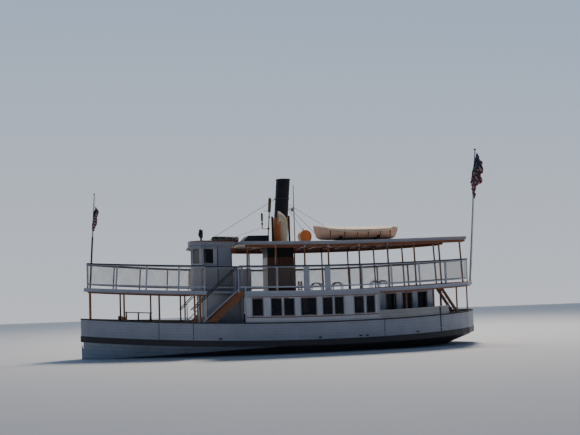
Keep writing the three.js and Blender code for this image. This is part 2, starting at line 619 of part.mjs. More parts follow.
const quarterWindow = new THREE.BoxGeometry(PILOT_WINDOW.quarter, 200,
  PILOT_WINDOW.head - PILOT_WINDOW.sill);
quarterWindow.translate(PILOT_WINDOW.quarterShift, 0, 0);
quarterWindow.rotateZ(Math.atan2(PILOT.noseHalf - PILOT.half, PILOT.nose - PILOT.shoulder));
quarterWindow.translate((PILOT.nose + PILOT.shoulder) / 2, (PILOT.noseHalf + PILOT.half) / 2,
  (PILOT_WINDOW.sill + PILOT_WINDOW.head) / 2);
onSheer(quarterWindow);
const pilotFloor = slab(-400, 0, UPPER_DECK + GAP);
const pilotTop = slab(-400, PILOT_ROOF_BOTTOM - GAP, 6000);
const pilotWalls = cut(level(pilotPlan(0), 2400, 4900), level(pilotPlan(-PILOT.wall), 2300, 5000),
  pilotFloor, pilotTop, ...pilotCuts, ...both(quarterWindow));
add('pilot_house', pilotWalls, PAINT.white);

const pilotDoor = deckBox(PILOT_DOOR.aft, PILOT_DOOR.fore, PILOT.half - 42, PILOT.half - 2,
  PILOT_DOOR.bottom, PILOT_DOOR.top);
add('pilot_door_port', pilotDoor, PAINT.white);
add('pilot_door_starboard', mirrored(pilotDoor), PAINT.white);

// Pilot house roof with its flared visor
const roofUnder = slab(-400, 0, PILOT_ROOF_BOTTOM);
const roofOver = slab(-400, PILOT_ROOF_TOP, 6000);
const PILOT_ROOF = { overhang: 110, aft: 2250 };
const roofPlan = pilotPlan(PILOT_ROOF.overhang)
  .map(([x, y]) => [Math.max(x, PILOT_ROOF.aft), y]);
const roofPlate = cut(level(roofPlan, 4300, 5200), roofUnder, roofOver);
const VISOR = { inner: 70, outer: 200, top: PILOT_ROOF_BOTTOM + 20, bottom: 4370, thick: 30,
  aft: 3150 };
const visorRing = (grow, z) => pilotPlan(grow)
  .map(([x, y], i) => [i === 0 || i === 5 ? VISOR.aft : x, y])
  .map(([x, y]) => [x, y, z + sheer(x)]);
const visorSections = (() => {
  const rows = [
    visorRing(VISOR.inner, VISOR.top), visorRing(VISOR.outer, VISOR.bottom),
    visorRing(VISOR.outer, VISOR.bottom - VISOR.thick),
    visorRing(VISOR.inner, VISOR.top - VISOR.thick - 10),
  ];
  const geometry = new THREE.BoxGeometry(1, 1, 1, 5, 1, 1);
  const p = geometry.attributes.position;
  for (let i = 0; i < p.count; i += 1) {
    const k = Math.round((p.getX(i) + 0.5) * 5);
    const outer = p.getY(i) < 0;
    const upper = p.getZ(i) > 0;
    const row = outer ? (upper ? 1 : 2) : (upper ? 0 : 3);
    p.setXYZ(i, ...rows[row][k]);
  }
  return geometry;
})();
add('pilot_roof', join(roofPlate, visorSections), PAINT.white);

// Locker across the deck behind the pilot house
const LOCKER = { aft: 1640, half: 1050, top: 3500 };
add('deck_locker', deckBox(LOCKER.aft, PILOT.aft - GAP, -LOCKER.half, LOCKER.half,
  UPPER_DECK + GAP, LOCKER.top), PAINT.white);

// Steering wheel on its pedestal
const WHEEL = { x: 3780, z: UPPER_DECK + 1000, radius: 480, rim: 26, handle: 130, hub: 75 };
const wheelZ = WHEEL.z + sheer(WHEEL.x);
const rim = new THREE.TorusGeometry(WHEEL.radius, WHEEL.rim, 6, 24);
rim.rotateY(Math.PI / 2);
rim.translate(WHEEL.x, 0, wheelZ);
const spokes = [0, 1, 2, 3].map((i) => {
  const a = (i * Math.PI) / 4;
  const dy = Math.cos(a) * (WHEEL.radius + WHEEL.handle);
  const dz = Math.sin(a) * (WHEEL.radius + WHEEL.handle);
  return bar([WHEEL.x, -dy, wheelZ - dz], [WHEEL.x, dy, wheelZ + dz], 17, 17, 6);
});
const wheelHub = bar([WHEEL.x - 50, 0, wheelZ], [WHEEL.x + WHEEL.hub - GAP, 0, wheelZ], 80, 80,
  12);
add('steering_wheel', join(rim, ...spokes, wheelHub), PAINT.varnish);
const pedestal = box(WHEEL.x + WHEEL.hub, WHEEL.x + WHEEL.hub + 105, -110, 110, UPPER_DECK,
  wheelZ + 120);
add('wheel_pedestal', cut(pedestal, pilotFloor), PAINT.varnish);

// Funnel, its buff casing and the trunk between the decks
const FUNNEL = { footX: 125, footZ: 4680, rake: 0.086, radius: 305, wall: 14, top: 7510 };
const CASING = { radius: 350, inner: 318, top: 5790, flange: 420, flangeTop: 4760 };
const belowRoof = canopyBody(0, ROOF_TOP + GAP, 4000, CANOPY.aft, CANOPY.fore);
const onRoof = (geometry) => cut(geometry, belowRoof);
const rakedX = (z) => FUNNEL.footX - FUNNEL.rake * (z - FUNNEL.footZ);
function rakedTube(z0, z1, outer, inner, sides = 32) {
  const g = turned([[inner, z0], [outer, z0], [outer, z1], [inner, z1], [inner, z0]], sides);
  const p = g.attributes.position;
  for (let i = 0; i < p.count; i += 1) p.setX(i, p.getX(i) + rakedX(p.getZ(i)));
  return g;
}
add('funnel', onRoof(join(
  rakedTube(FUNNEL.footZ - 40, FUNNEL.top, FUNNEL.radius, FUNNEL.radius - FUNNEL.wall),
  rakedTube(FUNNEL.top - 60, FUNNEL.top + 5, FUNNEL.radius + 14, FUNNEL.radius - 5),
)), PAINT.black);
add('funnel_casing', onRoof(join(
  rakedTube(FUNNEL.footZ - 40, CASING.top, CASING.radius, CASING.inner),
  rakedTube(FUNNEL.footZ - 40, CASING.flangeTop, CASING.flange, CASING.inner + 12),
)), PAINT.buff);
const TRUNK = { aft: -360, fore: 800, half: 520 };
add('funnel_trunk', deckBox(TRUNK.aft, TRUNK.fore, -TRUNK.half, TRUNK.half, UPPER_DECK + GAP,
  ROOF_TOP - CANOPY.thickness - 1), PAINT.black);

// Boiler and engine on the main deck
const BOILER = { aft: -700, fore: 1500, radius: 780, z: 1470 };
const boiler = bar([BOILER.aft, 0, BOILER.z], [BOILER.fore, 0, BOILER.z], BOILER.radius,
  BOILER.radius, 24);
const cradle = deckBox(BOILER.aft + 200, BOILER.fore - 200, -520, 520, MAIN_DECK + GAP, 1000);
add('boiler', join(boiler, cradle), PAINT.iron);
const ENGINE = { aft: -2300, fore: -1300, half: 420, top: 1900 };
add('engine', deckBox(ENGINE.aft, ENGINE.fore, -ENGINE.half, ENGINE.half, MAIN_DECK + GAP,
  ENGINE.top), PAINT.iron);

// Cowl ventilator: a stem that bends into a wide mouth
const COWL = { x: 100, y: 850, stem: 137, mouth: 285, bend: 240, elbowZ: 5510, turn: -8,
  collarTop: 4720 };
// columns: turn of the ring in degrees, its radius
const COWL_RINGS = [[0, COWL.stem + 15], [0, COWL.stem], [22, 150], [45, 175], [68, 215],
  [90, COWL.mouth]];
function cowl() {
  const foot = COWL.collarTop + GAP;
  const steps = COWL_RINGS.length - 1;
  const geometry = new THREE.CylinderGeometry(1, 1, 1, 20, steps);
  const p = geometry.attributes.position;
  for (let i = 0; i < p.count; i += 1) {
    const k = Math.round((p.getY(i) + 0.5) * steps);
    const [degrees, radius] = COWL_RINGS[k];
    const a = THREE.MathUtils.degToRad(degrees);
    const centreX = COWL.bend * (1 - Math.cos(a));
    const centreZ = k === 0 ? foot : COWL.elbowZ + COWL.bend * Math.sin(a);
    const outward = p.getZ(i) * radius;
    p.setXYZ(i, centreX + outward * Math.cos(a), p.getX(i) * radius,
      centreZ - outward * Math.sin(a));
  }
  const mouth = new THREE.CylinderGeometry(COWL.stem * 0.8, COWL.mouth - 14, 200, 20);
  mouth.rotateZ(Math.PI / 2);
  mouth.translate(COWL.bend - 85, 0, COWL.elbowZ + COWL.bend);
  const body = cut(geometry, mouth);
  body.rotateZ(THREE.MathUtils.degToRad(COWL.turn));
  body.translate(COWL.x, COWL.y, 0);
  return body;
}
add('cowl_ventilator', cowl(), PAINT.cream);
add('cowl_collar', onRoof(bar([COWL.x, COWL.y, ROOF_ROOT], [COWL.x, COWL.y, COWL.collarTop],
  COWL.stem + 45, COWL.stem + 45, 20)), PAINT.cream);

// Round ventilator, a drum on a foot with its mouth to port
const VENT = { x: -880, y: 420, z: 4925, radius: 285, length: 400, turn: 12 };
const ventDrum = new THREE.CylinderGeometry(VENT.radius, VENT.radius, VENT.length, 24);
ventDrum.rotateZ(THREE.MathUtils.degToRad(VENT.turn));
ventDrum.translate(VENT.x, VENT.y, VENT.z);
const ventMouth = new THREE.CylinderGeometry(VENT.radius - 25, VENT.radius - 60, 120, 24);
ventMouth.translate(0, VENT.length / 2, 0);
ventMouth.rotateZ(THREE.MathUtils.degToRad(VENT.turn));
ventMouth.translate(VENT.x, VENT.y, VENT.z);
const ventFoot = bar([VENT.x, VENT.y, ROOF_ROOT], [VENT.x, VENT.y, VENT.z - 100], 150);
const ventCap = bar([VENT.x, VENT.y, VENT.z + 200], [VENT.x, VENT.y, VENT.z + 380], 40, 30);
add('round_ventilator', onRoof(join(cut(ventDrum, ventMouth), ventFoot, ventCap)), PAINT.cream);

// Steam pipes beside the funnel; columns: x of the pipe, its top
const PIPES = [[500, 5840], [-250, 5860]];
const PIPE = { y: 330, radius: 45 };
PIPES.forEach(([x, top], i) => {
  add(`steam_pipe_${i + 1}`, onRoof(bar([x, PIPE.y, ROOF_ROOT], [x, PIPE.y, top], PIPE.radius,
    PIPE.radius, 12)), PAINT.black);
});

// Large whistle with the small one on a branch ahead of it
const WHISTLE = { footX: 650, x: 540, headX: 510, pipe: 24, radius: 66, bottom: 6080, top: 6710 };
const SMALL_WHISTLE = { x: 885, pipe: 22, radius: 52, branch: 5330, bottom: 5690, top: 6030 };
const whistle = join(
  bar([WHISTLE.footX, 0, ROOF_ROOT], [WHISTLE.x, 0, WHISTLE.bottom + 20], WHISTLE.pipe,
    WHISTLE.pipe, 8),
  bar([WHISTLE.x, 0, WHISTLE.bottom], [WHISTLE.headX, 0, WHISTLE.top], WHISTLE.radius,
    WHISTLE.radius, 12),
  bar([WHISTLE.footX - 50, 0, SMALL_WHISTLE.branch], [SMALL_WHISTLE.x, 0, SMALL_WHISTLE.branch],
    SMALL_WHISTLE.pipe, SMALL_WHISTLE.pipe, 8),
  bar([SMALL_WHISTLE.x, 0, SMALL_WHISTLE.branch - SMALL_WHISTLE.pipe],
    [SMALL_WHISTLE.x, 0, SMALL_WHISTLE.bottom + 10], SMALL_WHISTLE.pipe, SMALL_WHISTLE.pipe, 8),
  bar([SMALL_WHISTLE.x, 0, SMALL_WHISTLE.bottom], [SMALL_WHISTLE.x, 0, SMALL_WHISTLE.top],
    SMALL_WHISTLE.radius, SMALL_WHISTLE.radius, 12),
);
add('whistles', onRoof(whistle), PAINT.bronze);

// Skylight with a sloping fore end
const SKYLIGHT = { aft: 705, ridge: 1605, fore: 1830, top: 5010, lip: 4800, half: 520 };
const skylight = plate([
  [SKYLIGHT.aft, ROOF_ROOT], [SKYLIGHT.aft, SKYLIGHT.top], [SKYLIGHT.ridge, SKYLIGHT.top],
  [SKYLIGHT.fore, SKYLIGHT.lip], [SKYLIGHT.fore, ROOF_ROOT],
], -SKYLIGHT.half, SKYLIGHT.half);
add('skylight', onRoof(skylight), PAINT.black);

// Oval life raft on the pilot house roof
const RAFT = { x: 2615, y: 400, long: 595, short: 330, width: 155, depth: 230 };
const raft = new THREE.Shape();
raft.absellipse(0, 0, RAFT.long, RAFT.short, 0, Math.PI * 2);
const raftHole = new THREE.Path();
raftHole.absellipse(0, 0, RAFT.long - RAFT.width, RAFT.short - RAFT.width, 0, Math.PI * 2, true);
raft.holes.push(raftHole);
const raftRing = new THREE.ExtrudeGeometry(raft, { depth: RAFT.depth, bevelEnabled: false,
  curveSegments: 10 });
raftRing.translate(RAFT.x, RAFT.y, PILOT_ROOF_TOP + GAP);
const raftFloor = box(RAFT.x - 540, RAFT.x + 540, RAFT.y - 35, RAFT.y + 35,
  PILOT_ROOF_TOP + 60, PILOT_ROOF_TOP + 90);
add('life_raft', onSheer(join(mergeVertices(raftRing), raftFloor)), PAINT.black);

// Lamp on the pilot house roof; columns: bottom, top, lower radius, upper radius
const LAMP_X = 3600;
const LAMP_PARTS = [[-30, 60, 170, 150], [50, 180, 45, 45], [170, 500, 78, 88],
  [490, 560, 105, 95]];
const lampZ = PILOT_ROOF_TOP + sheer(3850);
add('roof_lamp', cut(join(...LAMP_PARTS.map(([z0, z1, r0, r1]) => bar(
  [LAMP_X, 0, lampZ + z0], [LAMP_X, 0, lampZ + z1], r0, r1, 16))),
slab(-400, 4000, PILOT_ROOF_TOP + GAP)), PAINT.black);

// Side lanterns hung under the pilot house roof
const LANTERN = { x: 2375, y: 1120, bottom: 4190, top: 4440, radius: 62 };
const lantern = onSheer(join(
  bar([LANTERN.x, LANTERN.y, LANTERN.bottom], [LANTERN.x, LANTERN.y, LANTERN.top],
    LANTERN.radius, LANTERN.radius, 12),
  bar([LANTERN.x, LANTERN.y, LANTERN.top - 5], [LANTERN.x, LANTERN.y,
    PILOT_ROOF_BOTTOM - GAP], 22, 22, 8),
));
add('port_lantern', lantern, PAINT.red);
add('starboard_lantern', mirrored(lantern), PAINT.green);

// Signal mast with a lamp on a short arm
const MAST = { x: -570, top: 7260, radius: 30, headRadius: 18, arm: 6150, armLength: 230 };
const MAST_LAMP = { bottom: 6080, top: 6240, radius: 70, headRadius: 60 };
add('signal_mast', onRoof(join(
  bar([MAST.x, 0, ROOF_ROOT], [MAST.x, 0, MAST.top], MAST.radius, MAST.headRadius, 10),
  bar([MAST.x, 0, MAST.arm], [MAST.x + MAST.armLength, 0, MAST.arm + 40], MAST.headRadius,
    MAST.headRadius, 8),
  bar([MAST.x + 60, 0, MAST_LAMP.bottom], [MAST.x + 60, 0, MAST_LAMP.top], MAST_LAMP.radius,
    MAST_LAMP.headRadius, 12),
)), PAINT.white);

// Lifeboat under its cover, on two chocks
const BOAT = { x: -3020, y: 1250, half: 1880, beam: 620, keelZ: 4725, sideZ: 5110 };
const CHOCKS = { aft: -3900, fore: -2200, half: 60, reach: 450, rise: 170, root: 4300 };
// columns: share of the half length, half breadth share, rise of the gunwale, rise of the keel
const BOAT_SECTIONS = [
  [-1, 0.03, 120, 330], [-0.94, 0.25, 105, 60], [-0.8, 0.58, 75, 0], [-0.55, 0.84, 35, 0],
  [-0.25, 0.98, 5, 0], [0.1, 1, 0, 0], [0.45, 0.92, 30, 0], [0.72, 0.66, 100, 0],
  [0.88, 0.38, 155, 20], [0.95, 0.2, 185, 100], [1, 0.03, 205, 380],
];
const lifeboat = loft(BOAT_SECTIONS.map(([t, b, gunwale, keel]) => {
  const g = BOAT.sideZ + gunwale;
  const k = BOAT.keelZ + keel;
  const half = BOAT.beam * b;
  const side = [[half, g], [half * 0.93, k + 0.5 * (g - k)], [half * 0.6, k + 0.15 * (g - k)],
    [Math.min(40, half * 0.3), k]];
  const ridge = [[half * 0.5, g + 45 * b], [0, g + 75 * b], [-half * 0.5, g + 45 * b]];
  const all = [...side, ...side.map(([y, z]) => [-y, z]).reverse(), ...ridge.reverse()];
  return { x: BOAT.x + t * BOAT.half, points: all.map(([y, z]) => [BOAT.y + y, z]) };
}));
add('lifeboat', lifeboat, PAINT.cream);
const chock = (x) => box(x - CHOCKS.half, x + CHOCKS.half, BOAT.y - CHOCKS.reach,
  BOAT.y + CHOCKS.reach, CHOCKS.root, BOAT.keelZ + CHOCKS.rise);
const chockTie = box(CHOCKS.aft - 100, CHOCKS.fore + 100, BOAT.y - 40, BOAT.y + 40, CHOCKS.root,
  BOAT.keelZ - 5);
const restingBoat = lifeboat.clone();
restingBoat.translate(0, 0, -2 * GAP);
add('lifeboat_chocks', cut(join(chock(CHOCKS.aft), chock(CHOCKS.fore), chockTie),
  belowRoof, restingBoat), PAINT.black);

// Staffs and their flags, each flag cut to the staff beside it
const JACK = { foot: [8335, 0, 2900], head: [8100, 0, 6890], radius: 32, headRadius: 20 };
const ENSIGN = { foot: [-8800, 0, 2700], head: [-9350, 0, 8850], radius: 45, headRadius: 28 };
const staff = ({ foot, head, radius, headRadius }, play = 0) => bar(foot, head, radius + play,
  headRadius + play, 12);
function flag(pole, corners, half) {
  return cut(plate(corners, -half, half), staff(pole, 2 * GAP));
}
const JACK_CORNERS = [[8126, 6405], [7934, 6285], [7954, 5405], [8176, 5545]];
const ENSIGN_CORNERS = [[-9338, 8720], [-9560, 8500], [-9640, 6600], [-9510, 6550],
  [-9211, 7300]];
const truck = bar([ENSIGN.head[0], 0, ENSIGN.head[2] - 10], [ENSIGN.head[0], 0,
  ENSIGN.head[2] + 70], ENSIGN.radius, ENSIGN.radius, 12);
add('jackstaff', standing(staff(JACK), UPPER_DECK), PAINT.white);
add('jack', flag(JACK, JACK_CORNERS, 15), PAINT.cloth);
add('ensign_staff', standing(join(staff(ENSIGN), truck), UPPER_DECK), PAINT.white);
add('ensign', flag(ENSIGN, ENSIGN_CORNERS, 22), PAINT.cloth);

// Mooring bitts fore and aft
const BITTS = { fore: 7600, aft: -8000, y: 260, height: 560, radius: 70, barZ: 380, barHalf: 380,
  barRadius: 45 };
const bitts = (x) => {
  const z = MAIN_DECK + sheer(x);
  const head = bar([x, BITTS.y, z - 20], [x, BITTS.y, z + BITTS.height], BITTS.radius,
    BITTS.radius, 12);
  return join(...both(head), bar([x, -BITTS.barHalf, z + BITTS.barZ],
    [x, BITTS.barHalf, z + BITTS.barZ], BITTS.barRadius, BITTS.barRadius, 10));
};
add('bow_bitts', standing(bitts(BITTS.fore), MAIN_DECK), PAINT.varnish);
add('stern_bitts', standing(bitts(BITTS.aft), MAIN_DECK), PAINT.varnish);

export default boat;
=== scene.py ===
"""Two-deck passenger steamboat: its looks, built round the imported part.

Metres, +X forward, +Y to port, +Z up, with the water at z = 0.
"""
import math
from math import cos, pi, radians, sin

import bmesh
import bpy
from mathutils import Matrix, Vector


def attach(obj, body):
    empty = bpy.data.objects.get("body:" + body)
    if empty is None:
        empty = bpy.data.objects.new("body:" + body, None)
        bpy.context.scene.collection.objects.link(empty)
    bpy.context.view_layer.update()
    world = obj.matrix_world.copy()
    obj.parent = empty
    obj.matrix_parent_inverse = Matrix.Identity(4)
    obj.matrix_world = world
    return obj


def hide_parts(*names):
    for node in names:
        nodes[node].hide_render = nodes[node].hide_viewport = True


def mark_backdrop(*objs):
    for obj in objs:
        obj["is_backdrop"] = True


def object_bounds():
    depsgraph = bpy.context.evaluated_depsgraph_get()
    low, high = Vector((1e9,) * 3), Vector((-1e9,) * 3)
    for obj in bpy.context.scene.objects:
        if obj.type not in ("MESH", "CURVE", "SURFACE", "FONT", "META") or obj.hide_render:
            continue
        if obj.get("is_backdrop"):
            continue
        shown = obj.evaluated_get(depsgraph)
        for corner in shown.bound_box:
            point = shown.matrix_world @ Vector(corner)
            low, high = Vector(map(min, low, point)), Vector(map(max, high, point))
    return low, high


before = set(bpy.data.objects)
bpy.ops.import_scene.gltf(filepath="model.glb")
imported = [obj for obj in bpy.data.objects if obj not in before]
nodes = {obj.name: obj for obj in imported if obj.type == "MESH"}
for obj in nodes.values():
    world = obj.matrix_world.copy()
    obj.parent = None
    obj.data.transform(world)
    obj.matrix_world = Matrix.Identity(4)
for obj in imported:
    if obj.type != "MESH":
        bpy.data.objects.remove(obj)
cad_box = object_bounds()

# The boat's lines, as in the part's source
STATIONS = [-8.85] + [i / 2 for i in range(-17, 18)] + [8.75]
HALF_BEAM = 3.146
SHEER_RATE, SHEER_LOW = 0.0039, -1.467
MAIN_DECK = 0.62
CAP_TOP = 1.29
DECK_EDGE_BOTTOM = 2.417
UPPER_DECK = 2.565
RAIL_TOP = 3.585
RAIL_UNDER = 3.515
LOW_RAIL_TOP = 2.755
NOTCH_AFT = 2.29
RAIL_STAIR_END = 2.48
RAIL_FORE, RAIL_AFT = 8.40, -8.10
BOTH_SIDES = ((1, "port"), (-1, "starboard"))
DECK_FORE = 8.59
PILOT_TOP = 4.69
NOTCH_FORE = 3.80


def broken_line(value_at):
    """A curve that is straight between the frame stations."""
    values = [value_at(x) for x in STATIONS]

    def value(x):
        i = 0
        while i < len(STATIONS) - 2 and x > STATIONS[i + 1]:
            i += 1
        share = (x - STATIONS[i]) / (STATIONS[i + 1] - STATIONS[i])
        return values[i] + share * (values[i + 1] - values[i])

    return value


def tapered(x):
    if x == STATIONS[-1]:
        return 0.23
    if x == STATIONS[0]:
        return 0.12
    end, power = (9.2, 2.4) if x > -1.5 else (-9.6, 3.2)
    rounding = 0.32 * max(0.0, -7.5 - x) ** 3
    return HALF_BEAM * (1 - ((x + 1.5) / (end + 1.5)) ** power) - rounding


sheer = broken_line(lambda x: SHEER_RATE * (x - SHEER_LOW) ** 2)
half_breadth = broken_line(tapered)


def side(inset):
    return lambda x: half_breadth(x) - inset


def upright(x, near, far, low, high):
    """A four-cornered section across the boat."""
    return [(x, near, low), (x, far, low), (x, far, high), (x, near, high)]


def table_at(rows, t):
    """What a table says at t, straight between its rows, whose first column is t."""
    for first, second in zip(rows, rows[1:]):
        if t <= second[0]:
            share = (t - first[0]) / (second[0] - first[0])
            return [a + (b - a) * share for a, b in zip(first[1:], second[1:])]
    return rows[-1][1:]


def stops(start, end):
    return [start] + [x for x in STATIONS if start + 0.001 < x < end - 0.001] + [end]


def link(name, data):
    thing = bpy.data.objects.new(name, data)
    bpy.context.collection.objects.link(thing)
    return thing


# Camera on the quay, solved from the photograph
CAMERA_PLACE = (9.6297, 41.6964, 2.5152)
CAMERA_TURN = (13.5037, 4.3948, 1.8201)
FOCAL_PX, PHOTO_WIDTH_PX, SENSOR_MM = 971.68, 580, 36


def set_camera():
    yaw, pitch, roll = (radians(a) for a in CAMERA_TURN)
    forward = Vector((-sin(yaw) * cos(pitch), -cos(yaw) * cos(pitch),
                      sin(pitch)))
    right = forward.cross(Vector((0, 0, 1))).normalized()
    up = right.cross(forward)
    level = right * cos(roll) - up * sin(roll)
    upright = up * cos(roll) + right * sin(roll)
    data = bpy.data.cameras.new("quay_camera")
    data.sensor_width = SENSOR_MM
    data.lens = FOCAL_PX / PHOTO_WIDTH_PX * SENSOR_MM
    data.clip_end = 500
    camera = link("quay_camera", data)
    camera.matrix_world = Matrix.Translation(CAMERA_PLACE) @ Matrix(
        (level, upright, -forward)).transposed().to_4x4()
    bpy.context.scene.camera = camera


set_camera()


# Shapes
def at(value, x):
    return value(x) if callable(value) else value


def angles(count):
    return [2 * pi * k / count for k in range(count)]


def placed(point, *turns):
    """Where a turned body stands; turns = (degrees, axis) pairs, the outer one first."""
    place = Matrix.Translation(point)
    for degrees, axis in turns:
        place = place @ Matrix.Rotation(radians(degrees), 4, axis)
    return place


class Shape:
    """Closed bodies gathered into one mesh."""

    def __init__(self):
        self.points, self.faces = [], []

    def add(self, points, faces):
        start = len(self.points)
        self.points += [tuple(p) for p in points]
        self.faces += [tuple(start + i for i in face) for face in faces]
        return self

    def rings(self, rings, closed=False, capped=True):
        """Joins rings of equally many points, one after the other."""
        count = len(rings[0])
        points = [p for ring in rings for p in ring]
        last = len(rings) if closed else len(rings) - 1
        faces = [
            (r * count + i, r * count + (i + 1) % count,
             (r + 1) % len(rings) * count + (i + 1) % count, (r + 1) % len(rings) * count + i)
            for r in range(last) for i in range(count)
        ]
        if capped and not closed:
            faces.append(tuple(range(count)))
            faces.append(tuple(range(len(points) - 1, len(points) - count - 1, -1)))
        return self.add(points, faces)

    def run(self, start, end, inner, outer, bottom, top):
        """A bar along the boat that bends with its side and its sheer."""
        return self.rings([
            upright(x, at(inner, x), at(outer, x), bottom + sheer(x), top + sheer(x))
            for x in stops(start, end)])

    def block(self, low, high):
        return self.rings([upright(x, low[1], high[1], low[2], high[2])
                           for x in (low[0], high[0])])

    def tube(self, path, radius, sides=8, closed=False):
        path = [Vector(p) for p in path]
        count = len(path)
        radii = radius if isinstance(radius, (list, tuple)) else [radius] * count
        normal = None
        rings = []
        for i, point in enumerate(path):
            before = path[i - 1] if (i or closed) else point
            after = path[(i + 1) % count] if (i < count - 1 or closed) else point
            along = (after - before).normalized()
            if normal is None:
                normal = along.orthogonal()
            normal = (normal - along * normal.dot(along)).normalized()
            across = along.cross(normal)
            rings.append([point + radii[i] * (cos(a) * normal + sin(a) * across)
                          for a in angles(sides)])
        return self.rings(rings, closed=closed)

    def turned(self, profile, place=None, sides=24, closed=False):
        """A body of revolution about Z from (radius, height) pairs."""
        place = place or Matrix()
        rings = [[place @ Vector((max(r, 1e-4) * cos(a), max(r, 1e-4) * sin(a), h))
                  for a in angles(sides)] for r, h in profile]
        return self.rings(rings, closed=closed)

    def surround(self, place, opening, border, back, front):
        """A flat border round an opening of a wall: place(u, w, out) is a point of the wall."""
        u0, u1, w0, w1 = opening
        corners = [(u0, w0), (u1, w0), (u1, w1), (u0, w1)]
        grown = [(u0 - border, w0 - border), (u1 + border, w0 - border),
                 (u1 + border, w1 + border), (u0 - border, w1 + border)]
        ring = []
        for (ui, wi), (uo, wo) in zip(corners, grown):
            ring.append([place(ui, wi, back), place(ui, wi, front), place(uo, wo, front),
                         place(uo, wo, back)])
        return self.rings(ring, closed=True)

    def pane(self, place, opening, back, front):
        u0, u1, w0, w1 = opening
        return self.rings([[place(u, w, out) for u, w in ((u0, w0), (u1, w0), (u1, w1), (u0, w1))]
                           for out in (back, front)])

    def mirror(self):
        """Adds the same bodies on the other side of the boat."""
        points = [(x, -y, z) for x, y, z in self.points]
        return self.add(points, [tuple(reversed(face)) for face in self.faces])

    def mesh(self, name):
        mesh = bpy.data.meshes.new(name)
        mesh.from_pydata(self.points, [], self.faces)
        work = bmesh.new()
        work.from_mesh(mesh)
        bmesh.ops.remove_doubles(work, verts=work.verts, dist=1e-5)
        bmesh.ops.recalc_face_normals(work, faces=work.faces)
        work.to_mesh(mesh)
        work.free()
        return mesh

    def piece(self, name, material, body="boat", smooth=None, bevel=0.0):
        return settle(name, self.mesh(name), material, body, smooth, bevel)


def settle(name, mesh, material, body="boat", smooth=None, bevel=0.0):
    """Makes a mesh a finished piece that rides on a body."""
    if material not in mesh.materials[:]:
        mesh.materials.append(material)
    if smooth:
        mesh.polygons.foreach_set("use_smooth", [True] * len(mesh.polygons))
        mesh.set_sharp_from_angle(angle=radians(smooth))
    piece = link(name, mesh)
    if bevel:
        edge = piece.modifiers.new("softened_edges", "BEVEL")
        edge.width, edge.segments, edge.limit_method = bevel, 2, "ANGLE"
    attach(piece, body)
    return piece


# Shader node groups
class Wiring:
    """Adds nodes to a tree and joins them."""

    def __init__(self, tree):
        self.tree = tree

    def feed(self, socket, value):
        if isinstance(value, bpy.types.NodeSocket):
            self.tree.links.new(value, socket)
        else:
            socket.default_value = value

    def node(self, kind, inputs=(), **settings):
        node = self.tree.nodes.new(kind)
        for key, value in settings.items():
            setattr(node, key, value)
        for key, value in dict(inputs).items():
            self.feed(node.inputs[key], value)
        return node

    def math(self, operation, a, b=0.0):
        return self.node("ShaderNodeMath", {0: a, 1: b}, operation=operation).outputs[0]

    def times(self, a, b):
        return self.math("MULTIPLY", a, b)

    def stretch(self, vector, scales):
        return self.node("ShaderNodeVectorMath", {0: vector, 1: scales},
                         operation="MULTIPLY").outputs[0]

    def noise(self, vector, scale, detail=3.0, roughness=0.5):
        return self.node("ShaderNodeTexNoise", {
            "Vector": vector, "Scale": scale, "Detail": detail, "Roughness": roughness,
        }).outputs["Fac"]

    def between(self, value, low, high, to_low=0.0, to_high=1.0):
        return self.node("ShaderNodeMapRange", {
            "Value": value, "From Min": low, "From Max": high, "To Min": to_low, "To Max": to_high,
        }).outputs["Result"]

    def mix(self, factor, a, b):
        node = self.node("ShaderNodeMix", data_type="RGBA")
        self.feed(node.inputs[0], factor)
        self.feed(node.inputs[6], a)
        self.feed(node.inputs[7], b)
        return node.outputs[2]

    def parts(self, vector):
        return self.node("ShaderNodeSeparateXYZ", {0: vector}).outputs


def shader_group(name, inputs, outputs):
    group = bpy.data.node_groups.new(name, "ShaderNodeTree")
    for label, kind, value in inputs:
        socket = group.interface.new_socket(label, in_out="INPUT", socket_type=kind)
        if value is not None:
            socket.default_value = value
    for label in outputs:
        group.interface.new_socket(label, in_out="OUTPUT", socket_type="NodeSocketFloat")
    wiring = Wiring(group)
    return group, wiring, wiring.node("NodeGroupInput").outputs, \
        wiring.node("NodeGroupOutput").inputs


FLOAT, VECTOR = "NodeSocketFloat", "NodeSocketVector"


def make_weathering():
    """Patches of dirt and fading, and streaks that run down a side."""
    group, w, given, out = shader_group(
        "weathering", [("Place", VECTOR, None), ("Patch", FLOAT, 0.6), ("Streak", FLOAT, 0.05)],
        ["Patches", "Streaks", "Specks"])
    patches = w.noise(given["Place"], w.math("DIVIDE", 1.0, given["Patch"]), 4.0, 0.6)
    w.feed(out["Patches"], w.between(patches, 0.35, 0.7))
    across = w.math("DIVIDE", 1.0, given["Streak"])
    squeezed = w.node("ShaderNodeCombineXYZ", {"X": across, "Y": across, "Z": 0.9}).outputs[0]
    streaks = w.noise(w.stretch(given["Place"], squeezed), 1.0, 2.0, 0.6)
    w.feed(out["Streaks"], w.between(streaks, 0.52, 0.75))
    specks = w.noise(given["Place"], 55.0, 2.0, 0.7)
    w.feed(out["Specks"], w.between(specks, 0.55, 0.75))
    return group


def make_boards():
    """Boards side by side: the groove between them and a tone for each."""
    group, w, given, out = shader_group(
        "boards", [("Across", FLOAT, 0.0), ("Width", FLOAT, 0.1), ("Groove", FLOAT, 0.004)],
        ["Level", "Tone"])
    count = w.math("DIVIDE", given["Across"], given["Width"])
    share = w.math("FRACT", count)
    near = w.math("MINIMUM", share, w.math("SUBTRACT", 1.0, share))
    away = w.times(near, given["Width"])
    w.feed(out["Level"], w.between(away, 0.0, given["Groove"]))
    tone = w.node("ShaderNodeTexWhiteNoise", {"W": w.math("FLOOR", count)},
                  noise_dimensions="1D").outputs["Value"]
    w.feed(out["Tone"], tone)
    return group


